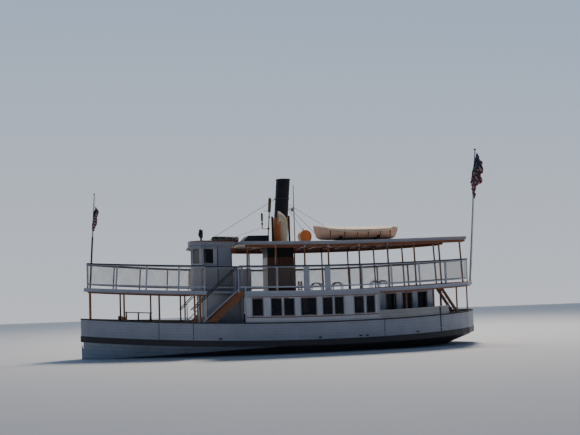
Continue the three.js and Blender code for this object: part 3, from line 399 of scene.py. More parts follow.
def make_grain():
    """Wood grain: fine lines and a broad figure, both drawn out along the wood."""
    group, w, given, out = shader_group(
        "grain", [("Place", VECTOR, None), ("Stretch", VECTOR, (1.0, 1.0, 1.0))],
        ["Lines", "Figure"])
    drawn = w.stretch(given["Place"], given["Stretch"])
    w.feed(out["Lines"], w.between(w.noise(drawn, 4.0, 5.0, 0.65), 0.35, 0.65))
    w.feed(out["Figure"], w.between(w.noise(drawn, 0.7, 2.0, 0.5), 0.3, 0.7))
    return group


def make_weave():
    """Plain weave of a cloth, from its own flat coordinates in metres."""
    group, w, given, out = shader_group(
        "weave", [("Place", VECTOR, None), ("Thread", FLOAT, 0.002)], ["Height"])
    x, y, _ = w.parts(given["Place"])
    turn = w.math("DIVIDE", math.tau, given["Thread"])
    warp = w.math("SINE", w.times(x, turn))
    weft = w.math("SINE", w.times(y, turn))
    w.feed(out["Height"], w.between(w.times(warp, weft), -1.0, 1.0))
    return group


def make_sheer_height():
    """How high a point stands above the lowest deck level, with the sheer taken off."""
    group, w, given, out = shader_group("sheer_height", [("Place", VECTOR, None)], ["Height"])
    x, _, z = w.parts(given["Place"])
    run = w.math("SUBTRACT", x, SHEER_LOW)
    lift = w.times(w.times(run, run), SHEER_RATE)
    w.feed(out["Height"], w.math("SUBTRACT", z, lift))
    return group


WEATHERING, BOARDS, GRAIN, WEAVE, SHEER_HEIGHT = (
    make() for make in (make_weathering, make_boards, make_grain, make_weave, make_sheer_height))


# Materials
class Finish(Wiring):
    """A material: the Principled shader, its coordinates and its bump."""

    def __init__(self, name, roughness=0.5, metallic=0.0, **constants):
        self.material = bpy.data.materials.new(name)
        self.material.use_nodes = True
        super().__init__(self.material.node_tree)
        self.shader = self.tree.nodes["Principled BSDF"]
        self.shader.inputs["Roughness"].default_value = roughness
        self.shader.inputs["Metallic"].default_value = metallic
        for key, value in constants.items():
            self.shader.inputs[key.replace("_", " ")].default_value = value
        self.place = self.node("ShaderNodeTexCoord").outputs["Object"]

    def use(self, group, **inputs):
        return self.node("ShaderNodeGroup", {k.replace("_", " "): v for k, v in inputs.items()},
                         node_tree=group).outputs

    def weather(self, patch, streak):
        return self.use(WEATHERING, Place=self.place, Patch=patch, Streak=streak)

    def fade(self, mask, amount, base, worn):
        return self.mix(self.times(mask, amount), base, worn)

    def plus(self, height, other, share):
        return self.math("ADD", height, self.times(other, share))

    def colour(self, value):
        self.feed(self.shader.inputs["Base Color"], value)

    def rough(self, mask, low, high):
        self.feed(self.shader.inputs["Roughness"], self.between(mask, 0.0, 1.0, low, high))

    def bump(self, height, depth):
        node = self.node("ShaderNodeBump", {"Height": height, "Distance": depth, "Strength": 1.0})
        self.feed(self.shader.inputs["Normal"], node.outputs[0])


def rgb(red, green, blue):
    return (red, green, blue, 1.0)


def darker(colour, share):
    return tuple(share * c for c in colour[:3]) + (1.0,)


def paint(name, base, worn, dirt=0.35, roughness=0.45, boards=None, groove=0.004, metallic=0.0):
    """Brushed paint on wood or plate; boards = (direction, width) gives it seams."""
    f = Finish(name, roughness, metallic)
    weather = f.weather(0.8, 0.06)
    soiled = f.times(weather["Streaks"], dirt)
    shade = f.mix(soiled, f.fade(weather["Patches"], 0.5, base, worn), worn)
    brush = f.noise(f.place, 90.0, 2.0)
    if boards:
        direction, width = boards
        x, y, _ = f.parts(f.place)
        across = {
            "side": lambda: f.math("ADD", x, y),
            "strake": lambda: f.use(SHEER_HEIGHT, Place=f.place)["Height"],
            "y": lambda: y,
            "x": lambda: x,
        }[direction]()
        seams = f.use(BOARDS, Across=across, Width=width, Groove=groove)
        toned = f.fade(seams["Tone"], 0.25, shade, worn)
        f.colour(f.mix(seams["Level"], darker(worn, 0.35), toned))
        f.bump(f.plus(seams["Level"], brush, 0.12), 0.003)
    else:
        f.colour(shade)
        f.bump(brush, 0.0008)
    f.rough(weather["Patches"], roughness - 0.08, roughness + 0.15)
    return f.material


def varnished(name, light, dark, stretch, roughness=0.3, boards=None):
    f = Finish(name, roughness, Coat_Weight=0.5, Coat_Roughness=0.15)
    grain = f.use(GRAIN, Place=f.place, Stretch=stretch)
    wood = f.mix(grain["Lines"], dark, f.mix(grain["Figure"], light, dark))
    if boards:
        direction, width = boards
        x, y, _ = f.parts(f.place)
        across = {"x": x, "y": y}[direction]
        seams = f.use(BOARDS, Across=across, Width=width, Groove=0.005)
        toned = f.fade(seams["Tone"], 0.4, wood, dark)
        f.colour(f.mix(seams["Level"], darker(dark, 0.25), toned))
        f.bump(f.plus(seams["Level"], grain["Lines"], 0.1), 0.003)
    else:
        f.colour(wood)
        f.bump(grain["Lines"], 0.0006)
    f.rough(grain["Lines"], roughness, roughness + 0.18)
    return f.material


def planked_deck(name, base, worn, width):
    """Laid deck: planks along the boat with dark payed seams."""
    f = Finish(name, 0.75)
    weather = f.weather(0.9, 0.2)
    grain = f.use(GRAIN, Place=f.place, Stretch=(1.2, 30.0, 30.0))
    seams = f.use(BOARDS, Across=f.parts(f.place)[1], Width=width, Groove=0.006)
    wood = f.fade(grain["Lines"], 0.5, base, worn)
    toned = f.fade(seams["Tone"], 0.5, wood, worn)
    foot_worn = f.fade(weather["Patches"], 0.5, toned, worn)
    f.colour(f.mix(seams["Level"], rgb(0.03, 0.025, 0.02), foot_worn))
    f.bump(f.plus(seams["Level"], grain["Lines"], 0.2), 0.003)
    f.rough(weather["Patches"], 0.62, 0.85)
    return f.material


def metal(name, base, worn, roughness, metallic, wear=0.4):
    f = Finish(name, roughness, metallic)
    weather = f.weather(0.25, 0.04)
    marks = f.math("MAXIMUM", f.times(weather["Streaks"], wear),
                   f.times(weather["Specks"], wear))
    f.colour(f.mix(marks, f.fade(weather["Patches"], 0.4, base, worn), worn))
    f.rough(weather["Patches"], roughness - 0.08, roughness + 0.18)
    f.bump(weather["Specks"], 0.0006)
    return f.material


def canvas(name, base, soiled, thread=0.004, patch=0.5):
    f = Finish(name, 0.85, Sheen_Weight=0.15)
    flat = f.node("ShaderNodeUVMap", uv_map="flat").outputs[0]
    weave = f.use(WEAVE, Place=flat, Thread=thread)
    weather = f.weather(patch, 0.12)
    f.colour(f.fade(weather["Patches"], 0.6, base, soiled))
    crease = f.noise(f.place, 9.0, 3.0)
    f.bump(f.math("ADD", f.times(weave["Height"], 0.2), crease), 0.004)
    f.rough(weather["Patches"], 0.8, 0.92)
    return f.material


def canvas_roof(name, base, soiled):
    """Painted canvas laid over roof boards, with seams across at every width of cloth."""
    f = Finish(name, 0.8)
    weather = f.weather(1.1, 0.3)
    seams = f.use(BOARDS, Across=f.parts(f.place)[0], Width=1.1, Groove=0.02)
    boards = f.use(BOARDS, Across=f.parts(f.place)[1], Width=0.1, Groove=0.02)
    f.colour(f.fade(weather["Patches"], 0.7, base, soiled))
    f.bump(f.math("ADD", f.times(seams["Level"], -1.0),
                  f.times(boards["Level"], 0.3)), 0.003)
    f.rough(weather["Patches"], 0.7, 0.9)
    return f.material


def flag_cloth(name):
    """Striped bunting with a dotted corner, on the flag's own flat coordinates; its colours are
    darkened as painted shade.
    """
    f = Finish(name, 0.8, Sheen_Weight=0.2)
    flat = f.node("ShaderNodeUVMap", uv_map="flat").outputs[0]
    share = f.node("ShaderNodeUVMap", uv_map="share").outputs[0]
    u, v, _ = f.parts(share)
    stripe = f.math("MODULO", f.math("FLOOR", f.times(v, 13.0)), 2.0)
    # Dark red and grey stripes and grey stars: painted shade over the flag's red, white and blue.
    bands = f.mix(stripe, rgb(0.22, 0.012, 0.02), rgb(0.36, 0.34, 0.36))
    corner = f.times(f.math("LESS_THAN", u, 0.4),
                    f.math("GREATER_THAN", v, 6.0 / 13.0))
    du = f.math("SUBTRACT", f.math("FRACT", f.times(u, 20.0)), 0.5)
    dv = f.math("SUBTRACT", f.math("FRACT", f.times(v, 15.0)), 0.5)
    away = f.math("SQRT", f.math("ADD", f.times(du, du), f.times(dv, dv)))
    dots = f.math("LESS_THAN", away, 0.27)
    field = f.mix(dots, rgb(0.010, 0.014, 0.05), rgb(0.26, 0.26, 0.30))
    f.colour(f.mix(corner, bands, field))
    weave = f.use(WEAVE, Place=flat, Thread=0.003)
    f.bump(weave["Height"], 0.0006)
    f.rough(weave["Height"], 0.75, 0.88)
    return f.material


def hull_paint(name):
    """White topsides over a dark boot-top that rises aft, then bottom paint."""
    f = Finish(name, 0.5)
    x, _, z = f.parts(f.place)
    weather = f.weather(0.7, 0.08)
    strakes = f.use(BOARDS, Across=f.use(SHEER_HEIGHT, Place=f.place)["Height"], Width=0.17,
                    Groove=0.006)
    line = f.math("MULTIPLY_ADD", x, -0.0426)
    line.node.inputs[2].default_value = 0.33
    above = f.between(f.math("SUBTRACT", z, line), -0.004, 0.004)
    # The white topsides are a cool blue-grey: painted shade over white paint.
    white = f.fade(weather["Patches"], 0.6, rgb(0.57, 0.62, 0.70),
                  rgb(0.36, 0.38, 0.38))
    black = f.mix(weather["Patches"], rgb(0.055, 0.050, 0.058), rgb(0.085, 0.08, 0.078))
    bottom = f.mix(weather["Patches"], rgb(0.16, 0.03, 0.02), rgb(0.07, 0.03, 0.022))
    low = f.between(z, -0.13, -0.12)
    painted = f.mix(above, f.mix(low, bottom, black), white)
    f.colour(f.mix(strakes["Level"], rgb(0.02, 0.02, 0.02), painted))
    f.bump(strakes["Level"], 0.003)
    f.rough(weather["Patches"], 0.4, 0.65)
    return f.material


def glass(name, tint):
    f = Finish(name, 0.06, Transmission_Weight=0.85, IOR=1.45)
    dust = f.weather(0.3, 0.05)
    f.colour(f.mix(dust["Patches"], tint, darker(tint, 0.8)))
    f.rough(dust["Streaks"], 0.04, 0.16)
    return f.material


def rope(name, base, dark):
    f = Finish(name, 0.85)
    strand = f.noise(f.place, 220.0, 2.0)
    f.colour(f.mix(strand, dark, base))
    f.bump(strand, 0.002)
    return f.material


# The rail and side whites are darkened to a cool blue-grey: painted shade over the real white
# paint.
WHITE_PAINTED_SHADE, WHITE_WORN_PAINTED_SHADE = rgb(0.49, 0.51, 0.57), rgb(0.33, 0.34, 0.38)
WALL_WHITE, WALL_WORN = rgb(0.70, 0.72, 0.76), rgb(0.50, 0.51, 0.53)
white = paint("white_paint", WHITE_PAINTED_SHADE, WHITE_WORN_PAINTED_SHADE, 0.3)
white_side = paint("white_side_strakes", WHITE_PAINTED_SHADE, WHITE_WORN_PAINTED_SHADE, 0.45, boards=("strake", 0.115))
white_boards = paint("white_upright_boards", WALL_WHITE, WALL_WORN, 0.3, boards=("side", 0.09))
# A darker copy of the white paint: painted shade on the fascias, roof edges and deck undersides.
white_edge_painted_shade = paint("white_fascia_painted_shade", rgb(0.42, 0.42, 0.46), rgb(0.30, 0.30, 0.32), 0.5)
grey_boards = paint("grey_white_boards", rgb(0.5, 0.49, 0.48), rgb(0.3, 0.29, 0.28), 0.4,
                    boards=("strake", 0.15))
black = paint("black_paint", rgb(0.030, 0.028, 0.031), rgb(0.07, 0.068, 0.07), 0.3, 0.4)
black_metal = metal("black_metal", rgb(0.014, 0.014, 0.017), rgb(0.05, 0.045, 0.04), 0.45, 0.2)
buff_metal = metal("buff_metal", rgb(0.86, 0.27, 0.08), rgb(0.50, 0.17, 0.06), 0.5, 0.0, 0.35)
cream_metal = metal("cream_metal", rgb(0.74, 0.62, 0.45), rgb(0.5, 0.4, 0.28), 0.4, 0.0, 0.3)
# Salmon paint made much brighter than its own colour: painted light, the warm light the lifeboat's
# side catches.
boat_paint_painted_light = paint("lifeboat_paint", rgb(0.94, 0.60, 0.45), rgb(0.70, 0.40, 0.29), 0.25)
red_metal = metal("red_metal", rgb(0.42, 0.02, 0.015), rgb(0.2, 0.02, 0.015), 0.4, 0.0, 0.3)
# A dark copy of red_metal: painted shade inside the cowl's mouth.
lining_red_painted_shade = metal("lining_red_painted_shade", rgb(0.14, 0.015, 0.012), rgb(0.08, 0.012, 0.01), 0.5, 0.0, 0.3)
green_metal = metal("green_metal", rgb(0.02, 0.22, 0.08), rgb(0.02, 0.1, 0.05), 0.4, 0.0, 0.3)
brass = metal("brass", rgb(0.6, 0.38, 0.12), rgb(0.25, 0.14, 0.05), 0.3, 1.0, 0.5)
bronze = metal("bronze", rgb(0.36, 0.22, 0.09), rgb(0.1, 0.14, 0.09), 0.4, 1.0, 0.6)
iron = metal("dark_iron", rgb(0.04, 0.038, 0.036), rgb(0.1, 0.06, 0.04), 0.6, 0.5, 0.5)
LIGHT_WOOD, DARK_WOOD = rgb(0.42, 0.16, 0.035), rgb(0.2, 0.06, 0.015)
varnish_up = varnished("varnish_upright", LIGHT_WOOD, DARK_WOOD, (22.0, 22.0, 1.0))
varnish_along = varnished("varnish_along", LIGHT_WOOD, DARK_WOOD, (1.0, 22.0, 22.0))
soffit = varnished("varnished_soffit", rgb(0.38, 0.16, 0.05), rgb(0.2, 0.07, 0.02),
                   (1.0, 22.0, 22.0), boards=("y", 0.09))
main_planks = planked_deck("main_deck_planks", rgb(0.3, 0.23, 0.16), rgb(0.2, 0.16, 0.12), 0.11)
upper_planks = planked_deck("upper_deck_planks", rgb(0.34, 0.14, 0.07), rgb(0.22, 0.1, 0.06),
                            0.09)
roof_canvas = canvas_roof("roof_canvas", rgb(0.55, 0.54, 0.5), rgb(0.36, 0.35, 0.32))
boat_canvas = canvas("boat_cover_canvas", rgb(0.98, 0.79, 0.60), rgb(0.84, 0.64, 0.47))
bunting_painted_shade = flag_cloth("flag_bunting")
hull_finish = hull_paint("hull_paint")
pane_glass = glass("window_glass", rgb(0.10, 0.09, 0.085))
net_rope = rope("net_rope", rgb(0.5, 0.47, 0.42), rgb(0.26, 0.24, 0.2))
tarred_rope = rope("tarred_rope", rgb(0.12, 0.09, 0.06), rgb(0.04, 0.03, 0.02))
wire = metal("galvanised_wire", rgb(0.12, 0.12, 0.13), rgb(0.05, 0.05, 0.05), 0.5, 0.8)

# The record's slot of each finish that can be changed
SLOTS = {finish: slot for slot, finishes in (
    ("white_paint", (white, white_edge_painted_shade)), ("black_paint", (black,)),
    ("black_metal", (black_metal,)), ("buff_metal", (buff_metal,)),
    ("cream_metal", (cream_metal,)), ("red_metal", (red_metal, lining_red_painted_shade)),
    ("green_metal", (green_metal,)), ("bronze", (bronze, brass)),
    ("varnish", (varnish_up, varnish_along)), ("cover", (boat_paint_painted_light, boat_canvas)),
    ("flag_cloth", (bunting_painted_shade,)),
) for finish in finishes}


# Finishes on the CAD pieces
def dress(name, *materials, rule=None):
    """Gives a CAD piece its materials; rule(centre, normal) picks one for each face."""
    mesh = nodes[name].data
    mesh.materials.clear()
    for material in materials:
        mesh.materials.append(material)
    picks = [rule(face.center, face.normal) if rule else 0 for face in mesh.polygons]
    mesh.polygons.foreach_set("material_index", picks)


def facing_up_or_down(centre, normal):
    return 1 if normal.z > 0.6 else 2 if normal.z < -0.6 else 0


STAIR_HEAD, STAIR_FOOT = 2.53, 4.37
STAIR_TOP, STAIR_DROP = 2.61, 1.81


def stair_line(x):
    share = max(0.0, (x - STAIR_HEAD) / (STAIR_FOOT - STAIR_HEAD))
    return STAIR_TOP - share * STAIR_DROP


def stair_finish(centre, normal):
    """White newels, black handrails, varnished stringers and treads."""
    above = centre.z - stair_line(centre.x)
    return 0 if above < 0.12 else 2 if above > 0.93 else 1


for finish, names in (
        (hull_finish, "hull"),
        (black, "rudder guard bulwark_cap"),
        (bronze, "propeller"),
        (main_planks, "main_deck"),
        (white_side, "bulwark"),
        (grey_boards, "aft_boards_port aft_boards_starboard"),
        (white_boards, "deckhouse fore_cabin aft_saloon pilot_house deck_locker"),
        (varnish_up, "fore_cabin_door saloon_door fore_posts aft_posts canopy_posts_port "
                     "canopy_posts_starboard aft_ladder wheel_pedestal bow_bitts stern_bitts"),
        (varnish_along, "steering_wheel"),
        (white, "rail_port rail_starboard rail_bow rail_stern pilot_door_port "
                "pilot_door_starboard signal_mast jackstaff ensign_staff"),
        (buff_metal, "funnel_casing"),
        (black_metal, "funnel_trunk steam_pipe_1 steam_pipe_2 skylight lifeboat_chocks"),
        (iron, "boiler engine"),
        (cream_metal, "cowl_collar")):
    for name in names.split():
        dress(name, finish)
# Downward faces and roof edges take the darker copy of the white: painted shade.
for name, *finishes in (("upper_deck", white, upper_planks, white_edge_painted_shade),
                        ("canopy", white_edge_painted_shade, roof_canvas, soffit),
                        ("pilot_roof", white_edge_painted_shade, roof_canvas, white_edge_painted_shade)):
    dress(name, *finishes, rule=facing_up_or_down)
for name in ("stair_port", "stair_starboard"):
    dress(name, varnish_along, white, black, rule=stair_finish)


# Geometry Nodes
def grow_tree(name, sizes, build):
    """A tree with named inputs whose result ends in Realize Instances and Set Material."""
    tree = bpy.data.node_groups.new(name, "GeometryNodeTree")
    tree.interface.new_socket("Geometry", in_out="INPUT", socket_type="NodeSocketGeometry")
    for label, kind, value in sizes:
        socket = tree.interface.new_socket(label, in_out="INPUT", socket_type=kind)
        if value is not None:
            socket.default_value = value
    tree.interface.new_socket("Material", in_out="INPUT", socket_type="NodeSocketMaterial")
    tree.interface.new_socket("Geometry", in_out="OUTPUT", socket_type="NodeSocketGeometry")
    wiring = Wiring(tree)
    given = wiring.node("NodeGroupInput").outputs
    grown = build(wiring, given)
    real = wiring.node("GeometryNodeRealizeInstances", {0: grown}).outputs[0]
    finished = wiring.node("GeometryNodeSetMaterial", {
        "Geometry": real, "Material": given["Material"]}).outputs[0]
    wiring.feed(wiring.node("NodeGroupOutput").inputs[0], finished)
    return tree


def grow(name, tree, seed, material, body="boat", smooth=None, **sizes):
    """Runs a tree on a seed mesh and keeps its result as a plain mesh."""
    holder = link(name + "_seed", seed)
    modifier = holder.modifiers.new("growth", "NODES")
    modifier.node_group = tree
    wanted = {"Material": material, **{k.replace("_", " "): v for k, v in sizes.items()}}
    for item in tree.interface.items_tree:
        if item.item_type == "SOCKET" and item.in_out == "INPUT" and item.name in wanted:
            modifier[item.identifier] = wanted[item.name]
    holder.update_tag()
    bpy.context.view_layer.update()
    graph = bpy.context.evaluated_depsgraph_get()
    mesh = bpy.data.meshes.new_from_object(holder.evaluated_get(graph))
    mesh.name = name
    bpy.data.objects.remove(holder)
    return settle(name, mesh, material, body, smooth)


def cord_tree(w, given):
    curves = w.node("GeometryNodeMeshToCurve", {"Mesh": given["Geometry"]}).outputs[0]
    round_section = w.node("GeometryNodeCurvePrimitiveCircle", {
        "Resolution": given["Sides"], "Radius": given["Radius"]}).outputs["Curve"]
    return w.node("GeometryNodeCurveToMesh", {
        "Curve": curves, "Profile Curve": round_section, "Fill Caps": True}).outputs[0]


def head_tree(w, given):
    """Flat round heads on the seed's points, each turned to its point's direction."""
    head = w.node("GeometryNodeMeshIcoSphere", {"Radius": given["Radius"], "Subdivisions": 1})
    flat = w.node("GeometryNodeTransform", {
        "Geometry": head.outputs["Mesh"], "Scale": (1.0, 1.0, 0.6)}).outputs[0]
    facing = w.node("GeometryNodeInputNamedAttribute", {"Name": "facing"},
                    data_type="FLOAT_VECTOR").outputs[0]
    turn = w.node("FunctionNodeAlignRotationToVector", {"Vector": facing}, axis="Z").outputs[0]
    return w.node("GeometryNodeInstanceOnPoints", {
        "Points": given["Geometry"], "Instance": flat, "Rotation": turn}).outputs[0]


def slat_tree(w, given):
    """A row of slats: Count of them, one Step apart, from the Start."""
    line = w.node("GeometryNodeMeshLine", {
        "Count": given["Count"], "Start Location": given["Start"], "Offset": given["Step"],
    }).outputs[0]
    slat = w.node("GeometryNodeMeshCube", {"Size": given["Slat Size"]}).outputs["Mesh"]
    turned = w.node("GeometryNodeTransform", {
        "Geometry": slat, "Rotation": given["Tilt"]}).outputs[0]
    return w.node("GeometryNodeInstanceOnPoints", {
        "Points": line, "Instance": turned}).outputs[0]


CORDS = grow_tree("cords_along_edges", [("Radius", FLOAT, 0.004), ("Sides", "NodeSocketInt", 4)],
                  cord_tree)
HEADS = grow_tree("heads_on_points", [("Radius", FLOAT, 0.01)], head_tree)
SLATS = grow_tree("row_of_slats", [
    ("Count", "NodeSocketInt", 5), ("Start", VECTOR, None), ("Step", VECTOR, None),
    ("Slat Size", VECTOR, None), ("Tilt", VECTOR, None)], slat_tree)


def chains(lines):
    """A seed mesh of open polylines."""
    mesh = bpy.data.meshes.new("lines")
    points, edges = [], []
    for line in lines:
        start = len(points)
        points += [tuple(p) for p in line]
        edges += [(start + i, start + i + 1) for i in range(len(line) - 1)]
    mesh.from_pydata(points, edges, [])
    return mesh


def dotted(places):
    """A seed mesh of points, each with the direction that it faces."""
    mesh = bpy.data.meshes.new("points")
    mesh.from_pydata([tuple(p) for p, _ in places], [], [])
    facing = mesh.attributes.new("facing", "FLOAT_VECTOR", "POINT")
    facing.data.foreach_set("vector", [c for _, d in places for c in d])
    return mesh


# Rope netting in the upper rails
NET_PITCH = 0.095
NET_INSET = 0.068
NET_BOTTOM, NET_TOP = LOW_RAIL_TOP - 0.01, RAIL_UNDER + 0.01


def net_lines(place, length):
    """Slanting cords both ways over a strip of the given length."""
    rise = NET_TOP - NET_BOTTOM
    lines = []
    for k in range(int((length + rise) / NET_PITCH) + 1):
        for lean in (1, -1):
            foot = k * NET_PITCH - rise if lean > 0 else k * NET_PITCH
            head = foot + lean * rise
            low, high = max(0.0, min(foot, head)), min(length, max(foot, head))
            if high - low >= 0.02:
                marks = [low + (high - low) * step / 4 for step in range(5)]
                lines.append([place(u, NET_BOTTOM + (u - foot) * lean) for u in marks])
    return lines


def net_run(start, end, inset, hand):
    return net_lines(lambda u, z: (start + u, hand * (half_breadth(start + u) - inset),
                                   z + sheer(start + u)), end - start)


def net_across(x, y0, y1):
    return net_lines(lambda u, z: (x, y0 + u, z + sheer(x)), y1 - y0)


NOTCH_NET_INSET = 0.94 + 0.0275
for hand, name in BOTH_SIDES:
    lines = net_run(NOTCH_FORE + 0.05, RAIL_FORE, NET_INSET, hand)
    lines += net_run(RAIL_AFT, RAIL_STAIR_END, NET_INSET, hand)
    lines += net_run(NOTCH_AFT - 0.05, NOTCH_FORE + 0.05, NOTCH_NET_INSET, hand)
    ends = sorted((hand * side(NOTCH_NET_INSET)(NOTCH_FORE + 0.05),
                   hand * side(NET_INSET)(NOTCH_FORE + 0.05)))
    lines += net_across(NOTCH_FORE + 0.05, *ends)
    grow("rail_net_" + name, CORDS, chains(lines), net_rope, smooth=60, Radius=0.0045, Sides=4)
lines = []
for x in (RAIL_FORE + 0.03, RAIL_AFT - 0.03):
    reach = half_breadth(x) - 0.1
    lines += net_across(x, -reach, reach)
grow("rail_net_ends", CORDS, chains(lines), net_rope, smooth=60, Radius=0.0045, Sides=4)


# Rail caps, deck edge and side mouldings
def side_strips(name, material, rows, bevel=0.0):
    """Strips along both sides; each row is start, end, inner and outer inset, bottom, top."""
    strips = Shape()
    for start, end, inner, outer, low, high in rows:
        strips.run(start, end, side(inner), side(outer), low, high)
    strips.mirror().piece(name, material, bevel=bevel)


CAP_LOW, CAP_HIGH = RAIL_TOP - 0.034, RAIL_TOP + 0.022
caps = Shape()
for start, end in ((NOTCH_FORE + 0.02, RAIL_FORE + 0.07), (RAIL_AFT - 0.07, RAIL_STAIR_END)):
    caps.run(start, end, side(0.105), side(0.03), CAP_LOW, CAP_HIGH)
caps.run(NOTCH_AFT - 0.08, NOTCH_FORE + 0.08, side(1.005), side(0.93), CAP_LOW, CAP_HIGH)
caps.run(NOTCH_FORE + 0.01, NOTCH_FORE + 0.09, side(0.99), side(0.05), CAP_LOW + 0.002,
         CAP_HIGH - 0.002)
caps.mirror()
for x in (RAIL_FORE + 0.03, RAIL_AFT - 0.03):
    caps.run(x - 0.04, x + 0.04, lambda x: 0.1 - half_breadth(x), side(0.1), CAP_LOW + 0.002,
             CAP_HIGH - 0.002)
caps.piece("rail_caps", black, bevel=0.006)

side_strips("deck_edge_beads", white, [
    (start, end, 0.006, -0.016, low, high)
    for low, high in ((DECK_EDGE_BOTTOM + 0.001, DECK_EDGE_BOTTOM + 0.026),
                      (UPPER_DECK - 0.03, UPPER_DECK + 0.004))
    for start, end in ((-8.84, NOTCH_AFT - 0.01), (NOTCH_FORE + 0.01, DECK_FORE - 0.01))], 0.005)
side_strips("rub_moulding", white, [(-8.7, 8.64, 0.024, 0.004, 0.697, 0.725)], 0.006)
side_strips("side_straps", black, [
    (x - 0.012, x + 0.012, 0.03, 0.013, 0.575, 1.238) for x in (5.684, 4.347, -3.546)
] + [(-6.29, -6.23, 0.03, 0.008, 0.575, 1.6)])

# Black discs inside the white rims paint the shade inside the scupper openings.
scupper_shade_discs = Shape()
scupper_rims = Shape()
for x in (3.29, -0.75, -2.48, -2.76, -5.06):
    for grown, out, target in ((0.0, 0.016, scupper_shade_discs), (0.018, 0.010, scupper_rims)):
        target.rings([[(x + (0.085 + grown) * cos(a), half_breadth(x) - 0.02 + y,
                        0.64 + (0.03 + grown) * sin(a) + sheer(x))
                       for a in angles(16)]
                      for y in (-0.01, out)])
scupper_rims.mirror().piece("scupper_rims", white)
scupper_shade_discs.mirror().piece("scupper_shade_discs", black)


# Windows, doors and cabin trim
def side_wall(hand):
    return lambda x, z, out: (x, hand * (half_breadth(x) - 0.03 + out), z + sheer(x))


def flat_wall(hand, y):
    return lambda x, z, out: (x, hand * (y + out), z + sheer(x))


def front_wall(x):
    return lambda y, z, out: (x + out, y, z + sheer(x))


PILOT_NOSE, NOSE_HALF, PILOT_SHOULDER = 4.03, 0.29, 3.73
QUARTER_DIRECTION = Vector((0.30, -0.76, 0)).normalized()
QUARTER_NORMAL = Vector((0.76, 0.30, 0)).normalized()


def quarter_wall(hand):
    def place(along, z, out):
        point = Vector((3.913, 0.586, 0)) + QUARTER_DIRECTION * along + QUARTER_NORMAL * out
        return point.x, hand * point.y, z + sheer(3.88)

    return place


frames, sashes, panes = Shape(), Shape(), Shape()


def window(place, opening, border=0.045, wall=0.06, framed=True):
    """A frame on the wall's face, a sash inside the opening and its pane."""
    u0, u1, w0, w1 = opening
    if framed:
        frames.surround(place, opening, border, -0.012, 0.014)
    inner = (u0 + 0.022, u1 - 0.022, w0 + 0.022, w1 - 0.022)
    sashes.surround(place, inner, 0.016, -wall + 0.012, -0.03)
    back = -wall * 0.6
    panes.pane(place, (u0 + 0.03, u1 - 0.03, w0 + 0.03, w1 - 0.03), back, back + 0.005)


HOUSE_WINDOWS = [(1.56, 2.0), (0.80, 1.24), (0.28, 0.71), (-0.64, 0.01), (-1.32, -0.90),
                 (-1.80, -1.41), (-2.67, -2.25), (-3.15, -2.78)]
SALOON_WINDOWS = [(-4.45, -3.99), (-5.18, -4.74), (-5.86, -5.43)]
for hand in (1, -1):
    for start, end in HOUSE_WINDOWS:
        window(side_wall(hand), (start, end, 1.56, 2.27), 0.03)
    for start, end in SALOON_WINDOWS:
        window(flat_wall(hand, 2.08), (start, end, 1.45, 2.30), 0.04, 0.05)
    window(flat_wall(hand, 1.05), (3.25, 3.66, 3.74, 4.37), 0.03, 0.05, framed=False)
    window(quarter_wall(hand), (-0.27, 0.27, 3.74, 4.37), 0.03, 0.05, framed=False)
for start, end in ((-0.25, -0.025), (0.025, 0.25)):
    window(front_wall(PILOT_NOSE), (start, end, 3.74, 4.37), 0.03, 0.05, framed=False)
frames.piece("window_frames", white, bevel=0.004)
sashes.piece("window_sashes", varnish_up, bevel=0.003)
panes.piece("window_panes", pane_glass)

side_strips("deckhouse_trim", white, [
    (-3.37, 2.29, 0.032, -0.004, 2.375, 2.412), (-3.37, 2.29, 0.032, 0.004, 2.335, 2.376),
    (-3.365, -3.30, 0.032, 0.016, 1.30, 2.336), (2.222, 2.285, 0.032, 0.016, 1.30, 2.336),
    (-3.37, 2.29, 0.032, 0.010, 1.296, 1.36)], 0.005)
side_strips("deckhouse_sill_lines", varnish_along, [
    (-3.30, 2.222, 0.032, 0.002, 1.480, 1.512), (-3.30, 2.222, 0.032, 0.002, 2.306, 2.334)])

cabin_trim = Shape()
for y, start, end in ((2.08, -6.20, -3.37), (1.5, 2.30, 3.65)):
    cabin_trim.run(start, end, y - 0.002, y + 0.022, 2.40, 2.46)
    cabin_trim.run(start, end, y - 0.002, y + 0.014, 0.63, 0.72)
    cabin_trim.run(end - 0.06 if y < 2 else start, end if y < 2 else start + 0.06, y - 0.002,
                   y + 0.012, 0.72, 2.40)
cabin_trim.mirror()
cabin_trim.piece("cabin_trim", white, bevel=0.004)


def door_panels(name, x, outward):
    """Raised rails and stiles on a cabin door, and its round knob."""
    def place(y, z, out):
        return x + outward * (0.02 + out), y, z + sheer(x)

    body = name + "_body"
    joinery = Shape()
    for low, high in ((0.78, 1.25), (1.37, 2.22)):
        joinery.surround(place, (-0.24, 0.24, low, high), 0.07, 0.0005, 0.012)
    joinery.piece(name + "_rails", varnish_up, body, bevel=0.003)
    Shape().turned(
        [(0, 0), (0.028, 0), (0.012, 0.012), (0.012, 0.03), (0.03, 0.045), (0.024, 0.062),
         (0, 0.066)],
        placed(place(0.30, 1.45, 0.012), (90 * outward, "Y")), 14,
    ).piece(name + "_knob", brass, body, smooth=40)


door_panels("fore_cabin_door", 3.628, 1)
door_panels("saloon_door", -6.178, -1)


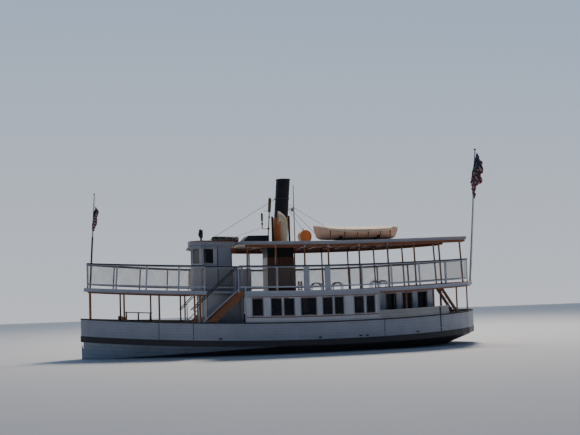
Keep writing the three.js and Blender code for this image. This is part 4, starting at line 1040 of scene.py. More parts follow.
def plan_band(grow_in, grow_out, low, high, aft=None):
    """A moulding round the pilot house, which has six corners in plan."""
    def corners(g):
        points = [(2.45 - g, -1.05 - g), (PILOT_SHOULDER + 0.4 * g, -1.05 - g),
                  (PILOT_NOSE + g, -NOSE_HALF - 0.4 * g), (PILOT_NOSE + g, NOSE_HALF + 0.4 * g),
                  (PILOT_SHOULDER + 0.4 * g, 1.05 + g), (2.45 - g, 1.05 + g)]
        return [(max(x, aft) if aft else x, y) for x, y in points]

    return [[(xi, yi, low + sheer(xi)), (xo, yo, low + sheer(xo)), (xo, yo, high + sheer(xo)),
             (xi, yi, high + sheer(xi))]
            for (xi, yi), (xo, yo) in zip(corners(grow_in), corners(grow_out))]


Shape().rings(plan_band(0.106, 0.128, 4.655, 4.70, 2.25), closed=True).piece(
    "pilot_roof_edge", varnish_along, bevel=0.004)
pilot_trim = Shape().rings(plan_band(-0.002, 0.018, 4.455, 4.50), closed=True)
pilot_trim.rings(plan_band(-0.002, 0.018, 2.585, 2.66, 3.075))
for hand in (1, -1):
    pilot_trim.run(3.09, 3.74, hand * 1.048, hand * 1.07, 3.655, 3.695)
pilot_trim.run(PILOT_NOSE - 0.001, PILOT_NOSE + 0.022, -NOSE_HALF, NOSE_HALF, 3.655, 3.695)
pilot_trim.piece("pilot_house_trim", white, bevel=0.004)

door_frames = Shape()
for hand in (1, -1):
    for x in (2.475, 3.07):
        door_frames.run(x - 0.018, x + 0.018, hand * 1.049, hand * 1.066, 2.67, 4.45)
    door_frames.run(2.457, 3.088, hand * 1.049, hand * 1.066, 4.455, 4.49)
door_frames.piece("pilot_door_frames", varnish_up, bevel=0.003)

for hand, name in BOTH_SIDES:
    body = f"pilot_door_{name}_body"
    lift = sheer(2.75)
    grow(f"pilot_door_{name}_louvres", SLATS, bpy.data.meshes.new("start"), white, body,
         Count=9, Start=(2.78, hand * 1.05, 3.78 + lift), Step=(0, 0, 0.07),
         Slat_Size=(0.42, 0.012, 0.05), Tilt=(hand * 0.35, 0, 0))
    panel = Shape()
    for box in ((2.56, 3.00, 3.74, 4.39), (2.56, 3.00, 2.72, 3.55)):
        panel.surround(flat_wall(hand, 1.048), box, 0.025, 0.0005, 0.011)
    panel.piece(f"pilot_door_{name}_rails", white, body, bevel=0.003)
    knob = Shape().turned(
        [(0, 0), (0.025, 0), (0.01, 0.01), (0.01, 0.025), (0.026, 0.04), (0, 0.055)],
        placed((2.55, hand * 1.048, 3.64 + lift), (-90 * hand, "X")), 14)
    knob.piece(f"pilot_door_{name}_knob", brass, body, smooth=40)
    bar = [(x, hand * y, 2.80 + lift) for x, y in ((2.55, 1.047), (2.55, 1.11), (3.02, 1.11),
                                                   (3.02, 1.047))]
    Shape().tube(bar, 0.013, 8).piece(f"pilot_door_{name}_bar", black, body, smooth=50)

# Locker lid and funnel trunk boards
lid = Shape().run(1.625, 2.448, -1.065, 1.065, 3.497, 3.522)
lid.piece("locker_lid", white, bevel=0.006)
trunk = Shape()
for i in range(12):
    trunk.block((-0.36 + 0.0968 * i, -0.532, 2.585), (-0.2745 + 0.0968 * i, 0.532, 4.045))
for i in range(11):
    trunk.block((-0.372, -0.52 + 0.0946 * i, 2.585), (0.812, -0.436 + 0.0946 * i, 4.045))
trunk.piece("funnel_trunk_boards", varnish_up, bevel=0.004)

# Canopy edge and beams
side_strips("canopy_edge_beads", white_edge_painted_shade, [
    (-8.09, 2.19, 0.004, -0.016, 4.452, 4.474), (-8.09, 2.19, 0.004, -0.016, 4.556, 4.586)], 0.005)


def canopy_lift(share):
    return 0.09 * (1 - share * share)


beams = Shape()
CANOPY_POSTS = [2.16, 0.985, -0.23, -1.25, -2.60, -3.885, -5.15, -6.46, -7.78]
CAMBER_STEPS = (-1, -0.66, -0.33, 0, 0.33, 0.66, 1)
for i, x in enumerate(CANOPY_POSTS[1:-1] + [0.45, -0.65, -1.8, -3.15, -4.45, -5.75, -7.1]):
    half = half_breadth(x) - 0.24
    rings = []
    for share in CAMBER_STEPS:
        z = 4.543 + canopy_lift(share) + sheer(x)
        rings.append([(x - 0.03, share * half, z - 0.075), (x + 0.03, share * half, z - 0.075),
                      (x + 0.03, share * half, z), (x - 0.03, share * half, z)])
    beams.rings(rings)
for hand in (1, -1):
    beams.run(-7.9, 2.18, lambda x: hand * (half_breadth(x) - 0.21),
              lambda x: hand * (half_breadth(x) - 0.15), 4.335, 4.447)
beams.piece("canopy_beams", varnish_up, bevel=0.006)

CANOPY_POST_RISE = 1.83
post_heads = Shape()
for x in CANOPY_POSTS:
    reach = half_breadth(x) - 0.17
    lean = -2 * SHEER_RATE * (x - SHEER_LOW) * CANOPY_POST_RISE
    z = 4.34 + sheer(x)
    post_heads.block((x + lean - 0.037, reach - 0.037, z), (x + lean + 0.037, reach + 0.037,
                                                          z + 0.085))
post_heads.mirror().piece("canopy_post_heads", white, bevel=0.004)

# Funnel, ventilators, whistles and lamps
RAKE = Matrix(((1, 0, -0.086, 0.125 + 0.086 * 4.68), (0, 1, 0, 0), (0, 0, 1, 0), (0, 0, 0, 1)))
funnel_profile = [
    (0.305, 4.705), (0.305, 5.90), (0.311, 5.905), (0.311, 5.955), (0.305, 5.96), (0.305, 6.60),
    (0.315, 6.605), (0.315, 6.665), (0.305, 6.67), (0.305, 7.18), (0.310, 7.185), (0.310, 7.225),
    (0.305, 7.23), (0.305, 7.45), (0.319, 7.455), (0.319, 7.51), (0.30, 7.515), (0.291, 7.50),
    (0.291, 4.705),
]
funnel = Shape().turned(funnel_profile, RAKE, 64, closed=True).piece(
    "funnel_shell", black_metal, smooth=35)
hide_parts("funnel")


def rivets(heights, radius, count):
    places = []
    for z in heights:
        for a in angles(count):
            facing = Vector((cos(a), sin(a), 0))
            places.append((RAKE @ Vector((radius * facing.x, radius * facing.y, z)), facing))
    return places


seam = [(RAKE @ Vector((0, 0.307, 5.99 + 0.06 * k)), Vector((0, 1, 0))) for k in range(24)]
grow("funnel_rivets", HEADS, dotted(rivets((5.93, 7.205), 0.311, 40) + seam), black_metal,
     smooth=40, Radius=0.011)
casing_bands = Shape()
for low, high in ((5.735, 5.792), (4.83, 4.88)):
    casing_bands.turned([(0.351, low), (0.361, low + 0.006), (0.361, high - 0.006), (0.351, high)],
                        RAKE, 48, closed=True)
casing_bands.piece("casing_bands", buff_metal, smooth=35)
grow("casing_rivets", HEADS, dotted(rivets((5.763, 4.855), 0.361, 36)), buff_metal,
     smooth=40, Radius=0.012)
guy_band = Shape().turned([(0.316, 6.62), (0.326, 6.625), (0.326, 6.655), (0.316, 6.66)], RAKE, 48,
                          closed=True)
for a in (0, 120, 240):
    c, s = cos(radians(a)), sin(radians(a))
    spot = RAKE @ Vector((0.335 * c, 0.335 * s, 6.64))
    guy_band.tube([spot + 0.028 * Vector((c * cos(t), s * cos(t), sin(t)))
                   for t in angles(12)], 0.007, 6, closed=True)
guy_band.piece("funnel_guy_band", wire, smooth=40)

COWL_PLACE = placed((0.1, 0.85, 0), (-8, "Z"))
COWL_RADII = [(0, 0.137), (22, 0.150), (45, 0.175), (68, 0.215), (90, 0.285)]
BEND, ELBOW_Z = 0.24, 5.51


def cowl_ring(degrees, radius, push=0.0, sides=32):
    a = radians(degrees)
    centre = Vector((BEND * (1 - cos(a)) + push * sin(a), 0,
                     ELBOW_Z + BEND * sin(a) + push * cos(a)))
    outward = Vector((cos(a), 0, -sin(a)))
    sideways = Vector((0, 1, 0))
    return [COWL_PLACE @ (centre + radius * (cos(t) * outward + sin(t) * sideways))
            for t in angles(sides)]


def cowl_radius(degrees):
    for (d0, r0), (d1, r1) in zip(COWL_RADII, COWL_RADII[1:]):
        if degrees <= d1:
            share = (degrees - d0) / (d1 - d0)
            return r0 + (r1 - r0) * share * share * (3 - 2 * share) * 0.4 + (r1 - r0) * share * 0.6
    return COWL_RADII[-1][1]


def stem_ring(z, radius, sides=32):
    return [COWL_PLACE @ Vector((radius * cos(t), radius * sin(t), z))
            for t in angles(sides)]


bends = [0, 12, 24, 36, 48, 60, 72, 82, 90]
hood = Shape().rings(
    [stem_ring(4.722, 0.15), stem_ring(4.80, 0.15), stem_ring(4.806, 0.138)]
    + [cowl_ring(d, cowl_radius(d)) for d in bends]
    + [cowl_ring(90, 0.296, 0.006), cowl_ring(90, 0.294, 0.018), cowl_ring(90, 0.276, 0.018)]
    + [cowl_ring(d, cowl_radius(d) - 0.014) for d in (86, 72, 60, 50)])
hood = hood.piece("cowl_hood", cream_metal, "cowl_body", smooth=50)
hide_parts("cowl_ventilator")
# The cowl's inside takes the dark copy of the red: painted shade in its mouth.
Shape().rings([cowl_ring(d, cowl_radius(d) - 0.016) for d in (89, 80, 72, 60, 51)]
              + [cowl_ring(d, cowl_radius(d) - 0.020) for d in (53, 60, 72, 80, 89)],
              closed=True).piece("cowl_lining", lining_red_painted_shade, "cowl_body", smooth=50)
Shape().rings([cowl_ring(51.5, cowl_radius(51) - 0.02), cowl_ring(53, cowl_radius(53) - 0.022)]
              ).piece("cowl_throat", lining_red_painted_shade, "cowl_body")

VENT_PLACE = placed((-0.88, 0.42, 4.925), (12, "Z"), (-90, "X"))
vent = Shape().turned([
    (0, -0.205), (0.12, -0.20), (0.21, -0.165), (0.262, -0.10), (0.28, 0.0), (0.28, 0.19),
    (0.287, 0.196), (0.287, 0.208), (0.272, 0.21), (0.255, 0.15), (0, 0.15)], VENT_PLACE, 40)
vent.turned([(0.15, 4.69), (0.15, 4.74), (0.135, 4.76), (0.135, 4.87), (0, 4.88)],
            placed((-0.88, 0.42, 0)), 32)
vent.turned([(0.06, 5.19), (0.085, 5.215), (0.05, 5.24), (0.022, 5.245), (0.02, 5.28),
             (0.034, 5.292), (0, 5.304)], placed((-0.88, 0.42, 0)), 20)
vent = vent.piece("round_vent_shell", cream_metal, smooth=50)
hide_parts("round_ventilator")
Shape().turned([(0, 0.152), (0.252, 0.152), (0.266, 0.206), (0.262, 0.209), (0.24, 0.175),
                (0.12, 0.188), (0, 0.192)], VENT_PLACE, 40).piece(
    "round_vent_face", buff_metal, smooth=50)

whistles = Shape()
pipe = Matrix(((1, 0, -0.074, 0.65 + 0.074 * 4.69), (0, 1, 0, 0), (0, 0, 1, 0), (0, 0, 0, 1)))
whistles.turned([(0, 4.695), (0.075, 4.695), (0.075, 4.712), (0.035, 4.73), (0.024, 4.74),
                 (0.024, 5.28), (0.045, 5.29), (0.045, 5.37), (0.024, 5.38), (0.024, 5.78),
                 (0.04, 5.80), (0.04, 5.86), (0.024, 5.88), (0.024, 6.04), (0.05, 6.06),
                 (0.070, 6.10), (0.070, 6.13), (0.062, 6.14), (0.062, 6.17), (0.067, 6.19),
                 (0.067, 6.66), (0.045, 6.69), (0.015, 6.70), (0.015, 6.715), (0, 6.72)], pipe, 20)
small = placed((0.885, 0, 0))
whistles.tube([(0.60, 0, 5.33), (0.855, 0, 5.33), (0.877, 0, 5.338), (0.885, 0, 5.36),
               (0.885, 0, 5.50)], 0.022, 12)
whistles.turned([(0.022, 5.49), (0.04, 5.50), (0.045, 5.56), (0.026, 5.60), (0.024, 5.66),
                 (0.052, 5.69), (0.052, 5.71), (0.043, 5.72), (0.046, 5.74), (0.046, 6.0),
                 (0.03, 6.02), (0.01, 6.03), (0, 6.04)], small, 18)
whistles.tube([(0.55, 0.0, 6.08), (0.63, 0.02, 6.10), (0.73, 0.03, 6.14), (0.77, 0.03, 6.13)],
              0.011, 8)
whistles = whistles.piece("whistle_set", bronze, smooth=40)
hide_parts("whistles")

LAMP_Z = PILOT_TOP + sheer(3.85)
lamp_place = placed((3.6, 0, LAMP_Z))
lamp = Shape().turned([(0, 0.05), (0.05, 0.05), (0.042, 0.09), (0.042, 0.165), (0.07, 0.175),
                       (0.083, 0.20), (0.087, 0.36), (0.087, 0.46), (0.07, 0.483), (0.05, 0.487),
                       (0, 0.488)], lamp_place, 28)
lens_place = placed((3.6, 0, LAMP_Z + 0.33), (90, "Y"))
lamp.turned([(0.055, 0.0), (0.075, 0.085), (0.082, 0.092), (0.082, 0.108), (0.07, 0.108),
             (0.066, 0.087), (0, 0.08)], lens_place, 28)
lamp = lamp.piece("lamp_body", black_metal, smooth=45)
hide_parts("roof_lamp")
for name, finish, smooth, place, profile in (
        ("lens", pane_glass, 50, lens_place,
         [(0, 0.082), (0.064, 0.086), (0.045, 0.099), (0, 0.105)]),
        ("base", red_metal, 40, lamp_place,
         [(0, -0.002), (0.17, -0.002), (0.168, 0.02), (0.15, 0.045), (0.07, 0.052), (0, 0.052)]),
        ("cap", black_metal, 40, lamp_place,
         [(0, 0.486), (0.09, 0.488), (0.104, 0.50), (0.08, 0.53), (0.03, 0.552), (0, 0.558)])):
    Shape().turned(profile, place, 28).piece("lamp_" + name, finish, smooth=smooth)

for hand, name, coloured in ((1, "port", red_metal), (-1, "starboard", green_metal)):
    lift = sheer(2.375)
    spot = placed((2.375, hand * 1.12, lift))
    glass_body = Shape().turned([(0, 4.215), (0.05, 4.22), (0.062, 4.26), (0.062, 4.36),
                                 (0.05, 4.395), (0, 4.40)], spot, 20).piece(
        name + "_lantern_glass", coloured, smooth=45)
    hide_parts(name + "_lantern")
    fittings = Shape().turned([(0, 4.19), (0.058, 4.19), (0.06, 4.205), (0.05, 4.222), (0, 4.222)],
                              spot, 20)
    fittings.turned([(0, 4.395), (0.058, 4.395), (0.062, 4.405), (0.03, 4.44), (0.02, 4.46),
                     (0.02, 4.518), (0, 4.52)], spot, 20)
    for k in range(4):
        a = pi * (k + 0.5) / 2
        x, y = 2.375 + 0.066 * cos(a), hand * 1.12 + 0.066 * sin(a)
        fittings.tube([(x, y, 4.20 + lift), (x, y, 4.405 + lift)], 0.004, 6)
    fittings.piece(name + "_lantern_cage", brass, smooth=40)

# Life raft on the pilot house roof
RAFT_X, RAFT_Y, RAFT_LONG, RAFT_SHORT = 2.615, 0.4, 0.517, 0.252
RAFT_TOP = PILOT_TOP + sheer(RAFT_X)


def oval(z):
    for a in angles(48):
        x = RAFT_X + RAFT_LONG * cos(a)
        yield x, RAFT_Y + RAFT_SHORT * sin(a), z + sheer(x) - sheer(RAFT_X)


raft = Shape()
for rise in (0.078, 0.152):
    raft.tube(oval(RAFT_TOP + rise), 0.075, 16, closed=True)
raft = raft.piece("raft_ring", black_metal, smooth=60)
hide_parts("life_raft")
grow("raft_slats", SLATS, bpy.data.meshes.new("start"), varnish_along,
     Count=9, Start=(RAFT_X - 0.36, RAFT_Y, RAFT_TOP + 0.11), Step=(0.09, 0, 0.0),
     Slat_Size=(0.05, 0.44, 0.02), Tilt=(0, 0, 0))
lashings = Shape()
for a in angles(12):
    centre = Vector((RAFT_X + RAFT_LONG * cos(a), RAFT_Y + RAFT_SHORT * sin(a),
                     RAFT_TOP + 0.115))
    out = Vector((cos(a) * RAFT_SHORT, sin(a) * RAFT_LONG, 0)).normalized()
    lashings.tube([centre + 0.079 * cos(t) * out + Vector((0, 0, 0.114 * sin(t)))
                   for t in angles(14)], 0.007, 6, closed=True)
lashings.tube([(RAFT_X + 0.600 * cos(a), RAFT_Y + 0.336 * sin(a),
                RAFT_TOP + 0.14 - 0.05 * abs(sin(6 * a))) for a in angles(96)],
              0.007, 6, closed=True)
lashings.piece("raft_lines", net_rope, smooth=60)

# Lifeboat: planked hull, keel, gunwale, cover and lashings
BOAT_X, BOAT_Y, BOAT_HALF, BOAT_BREADTH = -3.02, 1.25, 1.88, 0.62
BOAT_SIDE, BOAT_KEEL = 5.11, 4.725
BOAT_SECTIONS = [
    (-1, 0.03, 0.120, 0.330), (-0.94, 0.25, 0.105, 0.060), (-0.8, 0.58, 0.075, 0.0),
    (-0.55, 0.84, 0.035, 0.0), (-0.25, 0.98, 0.005, 0.0), (0.1, 1.0, 0.0, 0.0),
    (0.45, 0.92, 0.030, 0.0), (0.72, 0.66, 0.100, 0.0), (0.88, 0.38, 0.155, 0.020),
    (0.95, 0.20, 0.185, 0.100), (1, 0.03, 0.205, 0.380),
]


def boat_section(t):
    """Half breadth, gunwale height and keel height at a share of the lifeboat's half length."""
    breadth, gunwale, keel = table_at(BOAT_SECTIONS, t)
    return BOAT_BREADTH * breadth, BOAT_SIDE + gunwale, BOAT_KEEL + keel


STRAKES = 7
SHAPE_OF_SIDE = [(0.0, 0.05), (0.15, 0.60), (0.5, 0.93), (1.0, 1.0)]


def side_share(h):
    return table_at(SHAPE_OF_SIDE, h)[0]


def boat_ring(t, inset=0.0):
    half, gunwale, keel = boat_section(t)
    port = []
    for s in range(STRAKES, 0, -1):
        for h, step in ((s / STRAKES, 0.0), ((s - 1) / STRAKES, -0.007)):
            y = max(half * side_share(h) + step - inset, 0.004)
            port.append((y, keel + h * (gunwale - keel)))
    port.append((max(min(0.03, half * 0.3), 0.004), keel))
    return [on_boat(t, y, z) for y, z in port] + [on_boat(t, -y, z) for y, z in reversed(port)]


def on_boat(t, y, z):
    return BOAT_X + t * BOAT_HALF, BOAT_Y + y, z


boat_stops = [-1 + 2 * k / 40 for k in range(41)]
lifeboat = Shape().rings([boat_ring(t) for t in boat_stops]).piece(
    "lifeboat_planking", boat_paint_painted_light, smooth=25)
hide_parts("lifeboat")
keel = Shape()
for t0 in (1, -1):
    _, gunwale, low = boat_section(t0)
    stem = [(BOAT_X + t0 * (BOAT_HALF + 0.004), BOAT_Y, low + (gunwale - low) * s / 4)
            for s in range(5)]
    keel.tube(stem, 0.018, 8)
keel.tube([on_boat(t, 0, boat_section(t)[2] - 0.002) for t in boat_stops], 0.016, 8)
keel.piece("lifeboat_keel", boat_paint_painted_light, smooth=40)
gunwale_rail = Shape()
for hand in (1, -1):
    sections = [(t, *boat_section(t)) for t in boat_stops]
    gunwale_rail.tube([on_boat(t, hand * (half + 0.008), gunwale - 0.03)
                       for t, half, gunwale, _ in sections], 0.02, 8)
gunwale_rail.piece("lifeboat_gunwale", varnish_along, smooth=40)


# Cloth, simulated here and kept as plain meshes
CLOTH_GAP = 0.012


def cloth_grid(name, columns, rows, place, width, height):
    mesh = bpy.data.meshes.new(name)
    points = [place(i / columns, j / rows) for j in range(rows + 1) for i in range(columns + 1)]
    faces = [(j * (columns + 1) + i, j * (columns + 1) + i + 1, (j + 1) * (columns + 1) + i + 1,
              (j + 1) * (columns + 1) + i) for j in range(rows) for i in range(columns)]
    mesh.from_pydata(points, [], faces)
    flat = mesh.uv_layers.new(name="flat")
    share = mesh.uv_layers.new(name="share")
    for loop in mesh.loops:
        j, i = divmod(loop.vertex_index, columns + 1)
        flat.data[loop.index].uv = (i / columns * width, j / rows * height)
        share.data[loop.index].uv = (i / columns, j / rows)
    return mesh


def drape(name, mesh, pinned, frames, weight=0.12, bending=0.05, damping=1.5, solids=()):
    """Lets a grid of cloth fall from its pinned points and returns its settled mesh."""
    holder = link(name + "_loose", mesh)
    pins = holder.vertex_groups.new(name="pins")
    pins.add(pinned, 1.0, "REPLACE")
    stands = []
    for k, solid_mesh in enumerate(solids):
        stand = link(f"{name}_stand_{k}", solid_mesh)
        stand.modifiers.new("collision", "COLLISION")
        stand.collision.thickness_outer = CLOTH_GAP
        stand.collision.cloth_friction = 20
        stands.append(stand)
    modifier = holder.modifiers.new("cloth", "CLOTH")
    for owner, values in (
            (modifier.settings, {
                "quality": 6, "mass": weight, "air_damping": damping, "tension_stiffness": 25,
                "compression_stiffness": 25, "shear_stiffness": 15,
                "bending_stiffness": bending, "vertex_group_mass": "pins"}),
            (modifier.collision_settings, {
                "use_collision": bool(stands), "distance_min": CLOTH_GAP,
                "use_self_collision": True, "self_distance_min": CLOTH_GAP}),
            (modifier.point_cache, {"frame_start": 1, "frame_end": frames})):
        for key, value in values.items():
            setattr(owner, key, value)
    scene = bpy.context.scene
    for step in range(1, frames + 1):
        scene.frame_set(step)
    graph = bpy.context.evaluated_depsgraph_get()
    settled = bpy.data.meshes.new_from_object(holder.evaluated_get(graph))
    scene.frame_set(1)
    for thing in [holder, *stands]:
        bpy.data.objects.remove(thing)
    return settled


def sheet_piece(name, settled, material):
    piece = settle(name, settled, material, smooth=60)
    thick = piece.modifiers.new("cloth_thickness", "SOLIDIFY")
    thick.thickness = 0.0015
    finer = piece.modifiers.new("finer", "SUBSURF")
    finer.levels = finer.render_levels = 1
    return piece


ENSIGN_FOOT, ENSIGN_HEAD = (-8.80, 0, 2.7), (-9.35, 0, 8.85)
JACK_FOOT, JACK_HEAD = (8.335, 0, 2.9), (8.10, 0, 6.89)


def staff_at(foot, head, z):
    share = (z - foot[2]) / (head[2] - foot[2])
    return Vector(foot).lerp(Vector(head), share)


def flag(name, foot, head, low, high, fly, staff_radius, columns, rows, pleats, depth,
         spread, drop, slack=0.0):
    """A limp flag in folds; a slack halyard lets the lower corner swing before the staff."""
    hoist = high - low

    def place(u, v):
        start = staff_at(foot, head, low + v * hoist) + Vector(
            (-staff_radius - 0.02 + slack * (1 - v), 1.6 * staff_radius * (slack > 0), 0))
        opened = min(1.0, u * 5)
        turn = 2 * pi * pleats * u + 0.9 * (1 - v)
        aft = -spread * u * (1.15 - 0.3 * v) + 0.25 * depth * opened * cos(turn)
        return start + Vector((aft, depth * opened * sin(turn), -drop * u ** 1.2))

    mesh = cloth_grid(name, columns, rows, place, fly, hoist)
    pinned = [j * (columns + 1) for j in range(rows + 1) if j in (0, rows) or j % 4 == 0]
    staff = Shape().tube([foot, head], staff_radius, 10).mesh(name + "_staff")
    settled = drape(name, mesh, pinned, 24, damping=3.0, solids=[staff])
    piece = sheet_piece(name + "_bunting", settled, bunting_painted_shade)
    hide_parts(name)


flag("ensign", ENSIGN_FOOT, ENSIGN_HEAD, 7.30, 8.72, 2.2, 0.04, 56, 22, 4.0,
     0.15, 0.42, 0.8, slack=0.27)
flag("jack", JACK_FOOT, JACK_HEAD, 5.545, 6.405, 1.25, 0.03, 56, 16, 5.0,
     0.07, 0.13, 0.3)


COVER_WIDTH, COVER_WEAVE_WIDTH = 1.62, 1.36
LASHINGS = [1.29, 0.69, 0.13, -0.37, -0.93, -1.43]


def boat_cover():
    """Canvas over the lifeboat, laced down at its lashings so that its edge falls in scallops."""
    columns, rows = 72, 22
    length, skirt = 2 * BOAT_HALF + 0.06, 0.15

    def place(u, v):
        t = max(-1.0, min(1.0, -1 + 2 * u))
        half, gunwale, _ = boat_section(t)
        half = max(half, 0.03) + 0.03
        reach = half + skirt
        across = (2 * v - 1) * reach
        ridge = 0.15 * (1 - abs(t) ** 3)
        if abs(across) <= half:
            z = gunwale + 0.03 + ridge * (1 - (abs(across) / half) ** 1.5)
            y = across
        else:
            z = gunwale + 0.03 - (abs(across) - half) * 0.9
            y = math.copysign(half + 0.25 * (abs(across) - half), across)
        return BOAT_X + (2 * u - 1) * (BOAT_HALF + 0.02), BOAT_Y + y, z

    mesh = cloth_grid("boat_cover", columns, rows, place, length, COVER_WEAVE_WIDTH)
    laced = [round(columns * (0.5 + x / length)) for x in LASHINGS]
    pinned = [row * (columns + 1) + i for row in (0, rows) for i in laced]
    pinned += [j * (columns + 1) + i for j in range(rows + 1) for i in (0, columns)]
    deck = []
    for t in boat_stops:
        half, gunwale, _ = boat_section(t)
        ridge = 0.13 * (1 - abs(t) ** 3)
        half = max(half, 0.03)
        deck.append([on_boat(t, y * half, gunwale + rise) for y, rise in (
            (-1, 0), (-0.45, ridge * 0.7), (0, ridge), (0.45, ridge * 0.7), (1, 0), (0, -0.2))])
    solid = Shape().rings(deck).mesh("cover_support")
    settled = drape("boat_cover", mesh, pinned, 30, weight=0.4, bending=0.8, solids=[solid])
    sheet_piece("lifeboat_cover", settled, boat_canvas)


boat_cover()
lashing_lines = Shape()
for x in LASHINGS:
    t = x / BOAT_HALF
    half, gunwale, keel_z = boat_section(t)
    for hand in (1, -1):
        path = []
        for step in range(7):
            h = 1 - step / 6 * 0.86
            reach = half * side_share(h) + 0.014
            path.append((BOAT_X + x - 0.03 * step / 6, BOAT_Y + hand * reach,
                         keel_z + h * (gunwale - keel_z)))
        lashing_lines.tube(path, [0.024, 0.021, 0.018, 0.015, 0.012, 0.010, 0.009], 6)
lashing_lines.piece("lifeboat_lashings", tarred_rope, smooth=50)

# Rigging: guys, halyards and the whistle line
rigging = Shape()
for start, end in (((0.27, 0, 6.64), (3.39, 0, 4.79)), ((-0.33, 0, 6.39), (-3.12, 0, 4.70)),
                   ((-0.31, 0.12, 6.26), (-1.62, 0.9, 4.67)),
                   ((-0.31, -0.12, 6.26), (-1.62, -0.9, 4.67))):
    rigging.tube([start, end], 0.009, 6)
rigging.tube([(0.905, 0.02, 5.38), (1.887, 0.02, 5.06), (2.32, 0.02, 4.80)], 0.006, 6)
rigging.piece("funnel_guys", wire, smooth=60)
halyards = Shape()
for foot, head, low, high, offset in ((JACK_FOOT, JACK_HEAD, 3.3, 6.8, 0.045),
                                      (ENSIGN_FOOT, ENSIGN_HEAD, 3.4, 8.78, 0.06)):
    cleat = staff_at(foot, head, low)
    halyards.tube([end + Vector((-offset, 0, 0)) for end in (cleat, staff_at(foot, head, high))],
                  0.005, 6)
    halyards.tube([cleat + Vector(turn) for turn in (
        (-0.05, -0.06, 0.05), (-0.055, 0.0, -0.03), (-0.05, 0.06, 0.05))], 0.007, 6)
halyards.piece("halyards", net_rope, smooth=60)
for name, head, size, finish in (("jackstaff", JACK_HEAD, 0.032, white),
                                 ("ensign_staff", ENSIGN_HEAD, 0.045, black)):
    Shape().turned([(0, -0.012), (size * 0.9, -0.01), (size * 1.2, 0.012), (size * 1.2, 0.03),
                    (size * 0.7, 0.05), (0, 0.058)], placed(head), 20).piece(
        name + "_truck", finish, smooth=40)

# Deck furniture
counter_top, counter_legs = Shape(), Shape()
counter_top.run(5.78, 6.92, -0.22, 0.22, 1.60, 1.64)
counter_top.piece("fore_deck_counter_top", white, bevel=0.008)
for x in (5.85, 6.35, 6.85):
    for y in (-0.16, 0.16):
        counter_legs.block((x - 0.022, y - 0.022, MAIN_DECK + 0.002 + sheer(x)),
                           (x + 0.022, y + 0.022, 1.602 + sheer(x)))
    counter_legs.block((x - 0.018, -0.16, 1.50 + sheer(x)), (x + 0.018, 0.16, 1.56 + sheer(x)))
counter_legs.piece("fore_deck_counter_legs", varnish_up, bevel=0.004)

backs = Shape()


def hoop(x, y, half, height):
    lift = UPPER_DECK + sheer(x)
    path = [(x - half, y, lift + 0.005), (x - half, y, lift + height * 0.45)]
    path += [(x + half * cos(a), y, lift + height * 0.45 + height * 0.55 * sin(a))
             for a in (pi * k / 10 for k in range(9, 0, -1))]
    path += [(x + half, y, lift + height * 0.45), (x + half, y, lift + 0.005)]
    backs.tube(path, 0.02, 8)


for x, half in ((-1.10, 0.24), (-2.02, 0.21), (-3.72, 0.18), (-4.08, 0.18)):
    hoop(x, 1.35, half, 0.31)
    hoop(x, 1.62, half, 0.31)
    for k in range(3):
        z = UPPER_DECK + sheer(x) + 0.20 + 0.03 * (k == 1)
        seat_x = x + (k - 1) * half * 0.6
        backs.tube([(seat_x, 1.35, z + 0.03), (seat_x, 1.62, z + 0.03)], 0.012, 6)
backs.piece("deck_stool_hoops", white, smooth=50)
rack = Shape()
for hand in (1, -1):
    for k in range(5):
        low = UPPER_DECK + 0.03 + 0.075 * k
        rack.run(-0.50, -0.30, hand * 1.40 - 0.012, hand * 1.40 + 0.012, low, low + 0.055)
    for x in (-0.49, -0.33):
        rack.run(x, x + 0.03, hand * 1.375 - 0.012, hand * 1.375 + 0.012, UPPER_DECK + 0.002,
                 UPPER_DECK + 0.41)
    rack.run(6.93, 7.13, lambda x: hand * (half_breadth(x) - 0.17),
             lambda x: hand * (half_breadth(x) - 0.03), CAP_TOP + 0.003, CAP_TOP + 0.15)
rack.piece("varnished_rack_and_chocks", varnish_along, bevel=0.004)
rail_strips = Shape()
outer = half_breadth(STAIR_FOOT) - 0.137
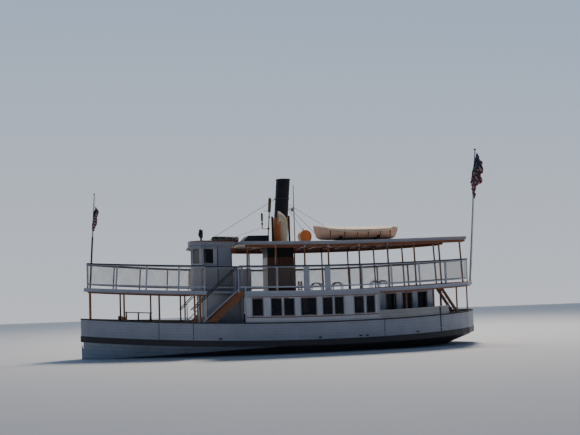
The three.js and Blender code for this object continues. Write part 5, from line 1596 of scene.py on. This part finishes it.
for hand in (1, -1):
    rings = []
    for x, z in ((2.52, 2.66), (3.985, 1.36)):
        y = outer + 0.28 * (STAIR_FOOT - x)
        rings.append(upright(x, hand * (y - 0.026), hand * (y + 0.004), z, z + 0.05))
    rail_strips.rings(rings)
rail_strips.piece("stair_edge_strips", white)
# A black tube over the staff's lower part: painted shade of its dark side.
Shape().tube([staff_at(JACK_FOOT, JACK_HEAD, 2.95), staff_at(JACK_FOOT, JACK_HEAD, 5.09)], 0.0345,
             16).piece("jackstaff_lower_painted_shade", black, smooth=40)


# Floor and studio light
def stage_block(name, low, high, finish):
    mesh = Shape().block(low, high).mesh(name)
    mesh.materials.append(finish.material)
    return link(name, mesh)


pale = Finish("pale_floor", 0.9)
mottle = pale.noise(pale.place, 0.4, 2.0)
pale.colour(pale.mix(mottle, rgb(0.64, 0.66, 0.69), rgb(0.68, 0.70, 0.72)))
glow = Finish("backdrop_glow", 1.0, Emission_Strength=0.75)
glow.colour(rgb(0.0, 0.0, 0.0))
glow.feed(glow.shader.inputs["Emission Color"],
          glow.mix(glow.between(glow.parts(glow.place)[2], 0.0, 55.0),
                   rgb(0.86, 0.90, 0.96), rgb(0.40, 0.60, 0.90)))
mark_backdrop(stage_block("floor", (-90, -70, -0.02), (90, 70, 0.0), pale),
         stage_block("backdrop", (-120, -70.2, -0.02), (120, -70, 90), glow))
world = bpy.data.worlds.new("studio")
bpy.context.scene.world = world
world.use_nodes = True
room = world.node_tree.nodes["Background"].inputs
room["Color"].default_value, room["Strength"].default_value = rgb(0.42, 0.62, 1.0), 0.20

KEY_PLACE, KEY_TARGET = Vector((-13, -16, 40)), Vector((0, 0, 2))
KEY_WIDTH_M, KEY_WATTS, KEY_COLOUR = 10, 20500, (1.0, 0.88, 0.74)
key = bpy.data.lights.new("high_key", "AREA")
key.shape, key.size, key.energy, key.color = "DISK", KEY_WIDTH_M, KEY_WATTS, KEY_COLOUR
light = link("high_key", key)
light.location = KEY_PLACE
light.rotation_mode = "QUATERNION"
light.rotation_quaternion = (KEY_TARGET - KEY_PLACE).to_track_quat("-Z", "Y")

size_record = [[list(corner) for corner in box] for box in (cad_box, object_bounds())]
